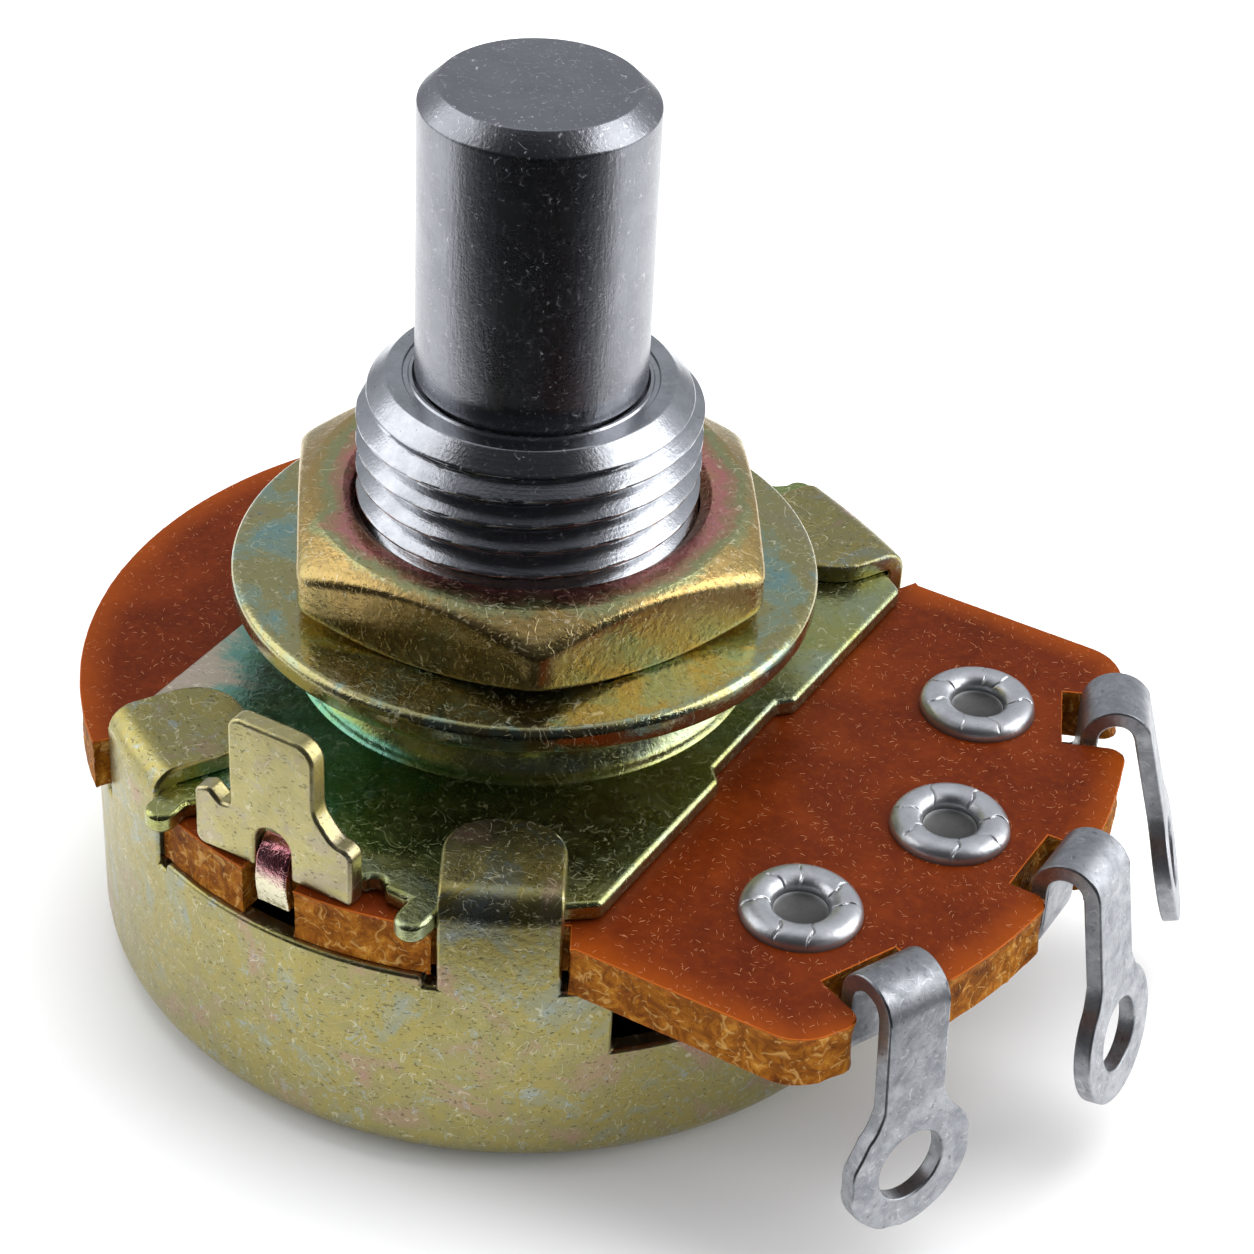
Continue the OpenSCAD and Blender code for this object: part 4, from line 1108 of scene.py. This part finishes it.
# Terminals: a flat blank bent along a path of straight and curved lengths
def terminal_path(n):
    """Start, direction and lengths of the bends of one terminal, in the plane of radius and height."""
    foot = ARCH_FOOT[n]
    inner = 0.15
    rise = PLATE_Z + 0.05 - WAFER_Z - inner
    return [("line", foot - inner - EYELET_AT[n]), ("arc", inner, 90.0), ("line", rise),
            ("arc", ARCH_R, -(180.0 - LEG_LEAN[n])), ("line", 20.0)]


def follow(path, start, s, w):
    """The point at distance s along a path of lines and arcs, and w to its right."""
    at = Vector(start)
    heading = 0.0
    for kind, *values in path:
        length = values[0] if kind == "line" else values[0] * math.radians(abs(values[1]))
        here = min(s, length) if (kind, *values) != path[-1] else s
        if kind == "line":
            if s <= length or (kind, *values) == path[-1]:
                ahead = Vector((math.cos(heading), math.sin(heading)))
                right = Vector((math.sin(heading), -math.cos(heading)))
                return at + ahead * here + right * w
            at = at + Vector((math.cos(heading), math.sin(heading))) * length
        else:
            radius, degrees = values
            sign = 1 if degrees > 0 else -1
            left = Vector((-math.sin(heading), math.cos(heading)))
            centre = at + left * radius * sign
            turn = sign * min(s, length) / radius
            if s <= length:
                h = heading + turn
                right = Vector((math.sin(h), -math.cos(h)))
                return centre + right * radius * sign + right * w
            heading += sign * length / radius
            at = centre + Vector((math.sin(heading), -math.cos(heading))) * radius * sign
        s -= length
    return at


def make_terminal(n):
    path = terminal_path(n)
    start = (EYELET_AT[n], WAFER_Z)
    lengths = []
    total = 0.0
    for kind, *values in path:
        lengths.append(total)
        total += values[0] if kind == "line" else values[0] * math.radians(abs(values[1]))
    leg_start = lengths[4]
    ring_at = leg_start + LEG_LEN
    half = TERM_W / 2
    tail_r = TERM_W * 0.72
    # Tail round the eyelet, against the clock from the strip's left side
    join = math.sqrt(tail_r ** 2 - half ** 2)
    from_left = math.degrees(math.atan2(join, -half))
    to_right = math.degrees(math.atan2(join, half)) + 360
    outline = arc((0, 0), tail_r, from_left, to_right, 20)
    # Right side of the strip, down to the shoulder and round the solder ring
    shoulder = math.degrees(math.asin(1.30 / RING_R))
    ring = arc((0, ring_at), RING_R, -90 + shoulder, 270 - shoulder, 44)
    if n == 0:
        # This ring kept flat spots where its blank was cut
        worn = []
        for u, v in ring:
            kept = 1 - 0.06 * max(0, ripple.noise(Vector((u * 1.4, v * 1.4, 2.0))))
            worn.append((u * kept, ring_at + (v - ring_at) * kept))
        ring = worn
    ring_top = ring_at - RING_R
    flare = [(half, ring_top - 0.16), (half + 0.10, ring_top + 0.10), (half + 0.22, ring_top + 0.36)]
    outline += [(half, leg_start)] + flare + ring
    outline += [(-u, v) for u, v in reversed(flare)] + [(-half, leg_start)]
    hole = arc((0, ring_at), RING_HOLE_R, 0, 360 - 9, 39)
    rivet = arc((0, 0), RIVET_HOLE_R, 0, 360 - 11.25, 31)

    def place(u, v, w):
        at = follow(path, start, v, w) if v > 0 else Vector((start[0] + v, start[1] - w))
        return (*turned_by([(at.x, u)], TERM_ANGLES[n])[0], at.y)

    cuts = [lengths[1] + (lengths[2] - lengths[1]) * k / 4 for k in range(5)]
    cuts += [lengths[3] + (lengths[4] - lengths[3]) * k / 20 for k in range(21)]
    bm = sheet([outline, hole, rivet], TERM_T, place, cuts_v=cuts)
    name = "solder_terminal_%d" % (n + 1)
    return new_piece(name, bm, terminal_tin, sharp=35.0, bevel=0.07)


# Eyelets: a rolled head that splits as it is flared, with the edges of each split turned down a little
def make_eyelet(n):
    rng = random.Random(20 + n)
    split_count = 7
    splits = []
    for k in range(split_count):
        at = math.radians(360 * k / split_count + 14 + 25 * n) + rng.uniform(-0.22, 0.22)
        splits.append((at, rng.uniform(0.3, 1.0), rng.uniform(-0.3, 0.3), rng.uniform(-0.35, 0.15)))
    mid_r = (EYELET_HEAD_R + EYELET_BORE_R) / 2
    half = (EYELET_HEAD_R - EYELET_BORE_R) / 2
    flange = 0.25
    foot = WAFER_Z - TERM_T - flange
    barrel = EYELET_BORE_R + 0.3
    floor_z = PLATE_Z - 0.05
    profile = [(0.0005, foot), (barrel + 0.4, foot), (barrel + 0.4, foot + flange)]
    profile += [(barrel, foot + flange), (barrel, PLATE_Z)]
    for k in range(25):
        a = math.radians(180 * k / 24)
        profile.append((mid_r + half * math.cos(a), PLATE_Z + EYELET_HEAD_H * math.sin(a) ** 0.75))
    profile += [(EYELET_BORE_R - 0.01, floor_z + 0.10), (EYELET_BORE_R - 0.08, floor_z + 0.06)]
    profile += [(EYELET_BORE_R - 0.12, floor_z), (0.0005, floor_z)]

    def shape(r, z, angle):
        if z <= PLATE_Z + 1e-6 or r < EYELET_BORE_R:
            return r, z
        drop = 0.0
        for at, deep, lean, reach in splits:
            # A split leans and wavers a little on its way outwards
            from_split = angle - at - lean * (r - mid_r) - 0.04 * math.sin(11 * r)
            gap = abs((from_split + math.pi) % (2 * math.pi) - math.pi) * r
            # It starts at the bore and stops before the rim
            along = min(max((mid_r - reach - r) / 0.12 + 3.0, 0.0), 1.0)
            crack = 0.26 * math.exp(-(gap / 0.022) ** 2)
            turned_down = 0.025 * math.exp(-(gap / 0.12) ** 2)
            drop += deep * along * (crack + turned_down)
        wave = 0.015 * math.cos(3 * angle + n) if r > mid_r else 0.0
        return r + wave, z - (z - PLATE_Z) * min(drop, 0.6)

    bm = turned(profile, 480, shape)
    x, y = turned_by([(EYELET_AT[n], 0.0)], TERM_ANGLES[n])[0]
    bmesh.ops.translate(bm, verts=bm.verts, vec=Vector((x, y, 0)) * MM)
    return new_piece("rolled_eyelet_%d" % (n + 1), bm, eyelet_tin, sharp=60.0)


def stands_for(piece, node, body):
    """Puts a scene piece in the place of a solid of the model."""
    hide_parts(node)
    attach(piece, body)


stands_for(make_shaft(), "shaft", "rotor_shaft")
stands_for(make_bushing(), "bushing", "housing")
stands_for(make_nut(), "hex_nut", "housing")
stands_for(make_washer(), "flat_washer", "housing")
for plate_piece in make_plate():
    stands_for(plate_piece, "front_plate", "housing")
stands_for(make_case(), "rear_case", "housing")
board = make_wafer()
lint = make_lint(board)
stands_for(board, "wafer", "housing")
stands_for(lint, "wafer", "housing")
for index in range(3):
    stands_for(make_terminal(index), "terminal_%d" % (index + 1), "housing")
    stands_for(make_eyelet(index), "eyelet_%d" % (index + 1), "housing")

# Solids that keep their own shape get their finish only
finishes = {
    "resistive_track": carbon_ink, "collector_ring": silver_ink, "track_contact_1": silver_ink,
    "track_contact_3": silver_ink, "rotor": moulded_phenolic, "wiper": spring_brass,
    "friction_washer": spring_brass, "retaining_ring": spring_steel, "stop_washer": spring_steel}
for node_name, look in finishes.items():
    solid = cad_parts[node_name]
    solid.data.materials.clear()
    solid.data.materials.append(look)


# Directions are given from the camera's side: across to the right, back into the picture, and up
LOOK = Vector((-0.39321667, 0.71165209, -0.58217862))
BACK = Vector((LOOK.x, LOOK.y, 0)).normalized()
ACROSS = BACK.cross(Vector((0, 0, 1)))


def from_camera(across, back, up):
    """A place given across, back and up from the camera's point of view, in metres."""
    return ACROSS * across + BACK * back + Vector((0, 0, up))


def reach_along(tree, vector, direction):
    """How far a vector reaches in a fixed direction."""
    return add(tree, "ShaderNodeVectorMath", {0: vector, 1: tuple(direction)},
               operation="DOT_PRODUCT").outputs["Value"]


# Floor: a white sweep. On the camera's side metal sees it only near the part, as if a dark card
# lay there
def floor_look():
    made, tree, shader, place = material("white_sweep")
    shader.inputs["Base Color"].default_value = linear("#f4f4f4")
    shader.inputs["Roughness"].default_value = 0.8
    away = away_from_axis(tree, place)
    share = calc(tree, "DIVIDE", reach_along(tree, place, -BACK), away)
    reach = between(tree, share, 0.2, 0.95, 36.0, 19.0)
    past = between(tree, calc(tree, "SUBTRACT", away, reach), 0.0, 6.0)
    in_front = between(tree, share, 0.1, 0.3)
    mirrored = add(tree, "ShaderNodeLightPath").outputs["Is Glossy Ray"]
    carded = calc(tree, "MULTIPLY", mirrored, calc(tree, "MULTIPLY", past, in_front))
    # Far from the part the sweep runs out into the white behind it, so that it shows no edge
    gone = greater(tree, carded, between(tree, away, 60.0, 130.0))
    clear = add(tree, "ShaderNodeBsdfTransparent").outputs[0]
    both = add(tree, "ShaderNodeMixShader", {0: gone, 1: shader.outputs[0], 2: clear}).outputs[0]
    tree.links.new(both, tree.nodes["Material Output"].inputs["Surface"])
    return made


bpy.ops.mesh.primitive_plane_add(size=0.8, location=(0, 0, -0.0002))
floor = bpy.context.object
floor.name = "studio_floor"
floor.data.materials.append(floor_look())


# World: white to the camera and even to matt surfaces. Mirrors see a room: dark in front, bright at
# the sides and grey behind
def room(sky):
    rays = add(sky, "ShaderNodeLightPath").outputs
    direction = add(sky, "ShaderNodeTexCoord").outputs["Generated"]
    share = between(sky, reach_along(sky, direction, BACK), -1.0, 1.0)
    low = colour_steps(sky, share, [
        (0.12, "#080809"), (0.22, "#25262a"), (0.30, "#5a5c60"), (0.44, "#989ba0"),
        (0.58, "#dcdee2"), (0.88, "#a8abb0")])
    high = colour_steps(sky, share, [
        (0.30, "#2a2a2e"), (0.40, "#66686d"), (0.50, "#b0b3b8"), (0.62, "#dcdee2"),
        (0.72, "#e6e8ec"), (0.90, "#bec1c6")])
    tone = mix(sky, between(sky, parts_of(sky, direction)["Z"], -0.05, 0.15), low, high)

    def light(colour, strength):
        return add(sky, "ShaderNodeBackground", {"Color": colour, "Strength": strength}).outputs[0]

    def choose(ray, otherwise, chosen):
        return add(sky, "ShaderNodeMixShader", {0: rays[ray], 1: otherwise, 2: chosen}).outputs[0]

    lit = choose("Is Glossy Ray", light(linear("#eef0f4"), 0.72), light(tone, 1.0))
    seen = choose("Is Camera Ray", lit, light(linear("#ffffff"), 1.0))
    add(sky, "ShaderNodeOutputWorld", {"Surface": seen})


world = bpy.data.worlds.new("studio_world")
bpy.context.scene.world = world
world.use_nodes = True
world.node_tree.nodes.clear()
room(world.node_tree)


def soft_lamp(name, position, size, power, mirrored=True):
    """A softbox aimed at the part; mirrored says whether metal shows it."""
    data = bpy.data.lights.new(name, "AREA")
    data.shape = "RECTANGLE"
    data.size, data.size_y = size
    data.energy = power
    lamp = bpy.data.objects.new(name, data)
    bpy.context.scene.collection.objects.link(lamp)
    lamp.location = position
    lamp.visible_glossy = mirrored
    aim = Vector((0, 0, 0.010)) - position
    lamp.rotation_euler = aim.to_track_quat("-Z", "Y").to_euler()


soft_lamp("softbox_left", from_camera(-0.24, 0.03, 0.14), (0.22, 0.28), 0.28)
soft_lamp("softbox_right", from_camera(0.25, 0.01, 0.14), (0.20, 0.30), 0.56)
soft_lamp("softbox_top", from_camera(0.03, 0.11, 0.32), (0.40, 0.30), 1.30, False)

# Camera, fitted to points of the shaft, the thread, the nut and the case in the photograph
CAMERA_AT = Vector((38.4970, -63.5661, 62.8351))
CAMERA_ROLL = -0.0546
camera_data = bpy.data.cameras.new("camera")
camera = bpy.data.objects.new("camera", camera_data)
bpy.context.scene.collection.objects.link(camera)
camera_data.sensor_width = 36.0
camera_data.lens = 91.74
camera_data.clip_start = 0.005
down = LOOK.cross(ACROSS)
right = ACROSS * math.cos(CAMERA_ROLL) + down * math.sin(CAMERA_ROLL)
lower = down * math.cos(CAMERA_ROLL) - ACROSS * math.sin(CAMERA_ROLL)
turn = Matrix((right, -lower, -LOOK)).transposed()
camera.matrix_world = Matrix.Translation(CAMERA_AT * MM) @ turn.to_4x4()
bpy.context.scene.camera = camera
bpy.context.scene.view_settings.view_transform = "Standard"
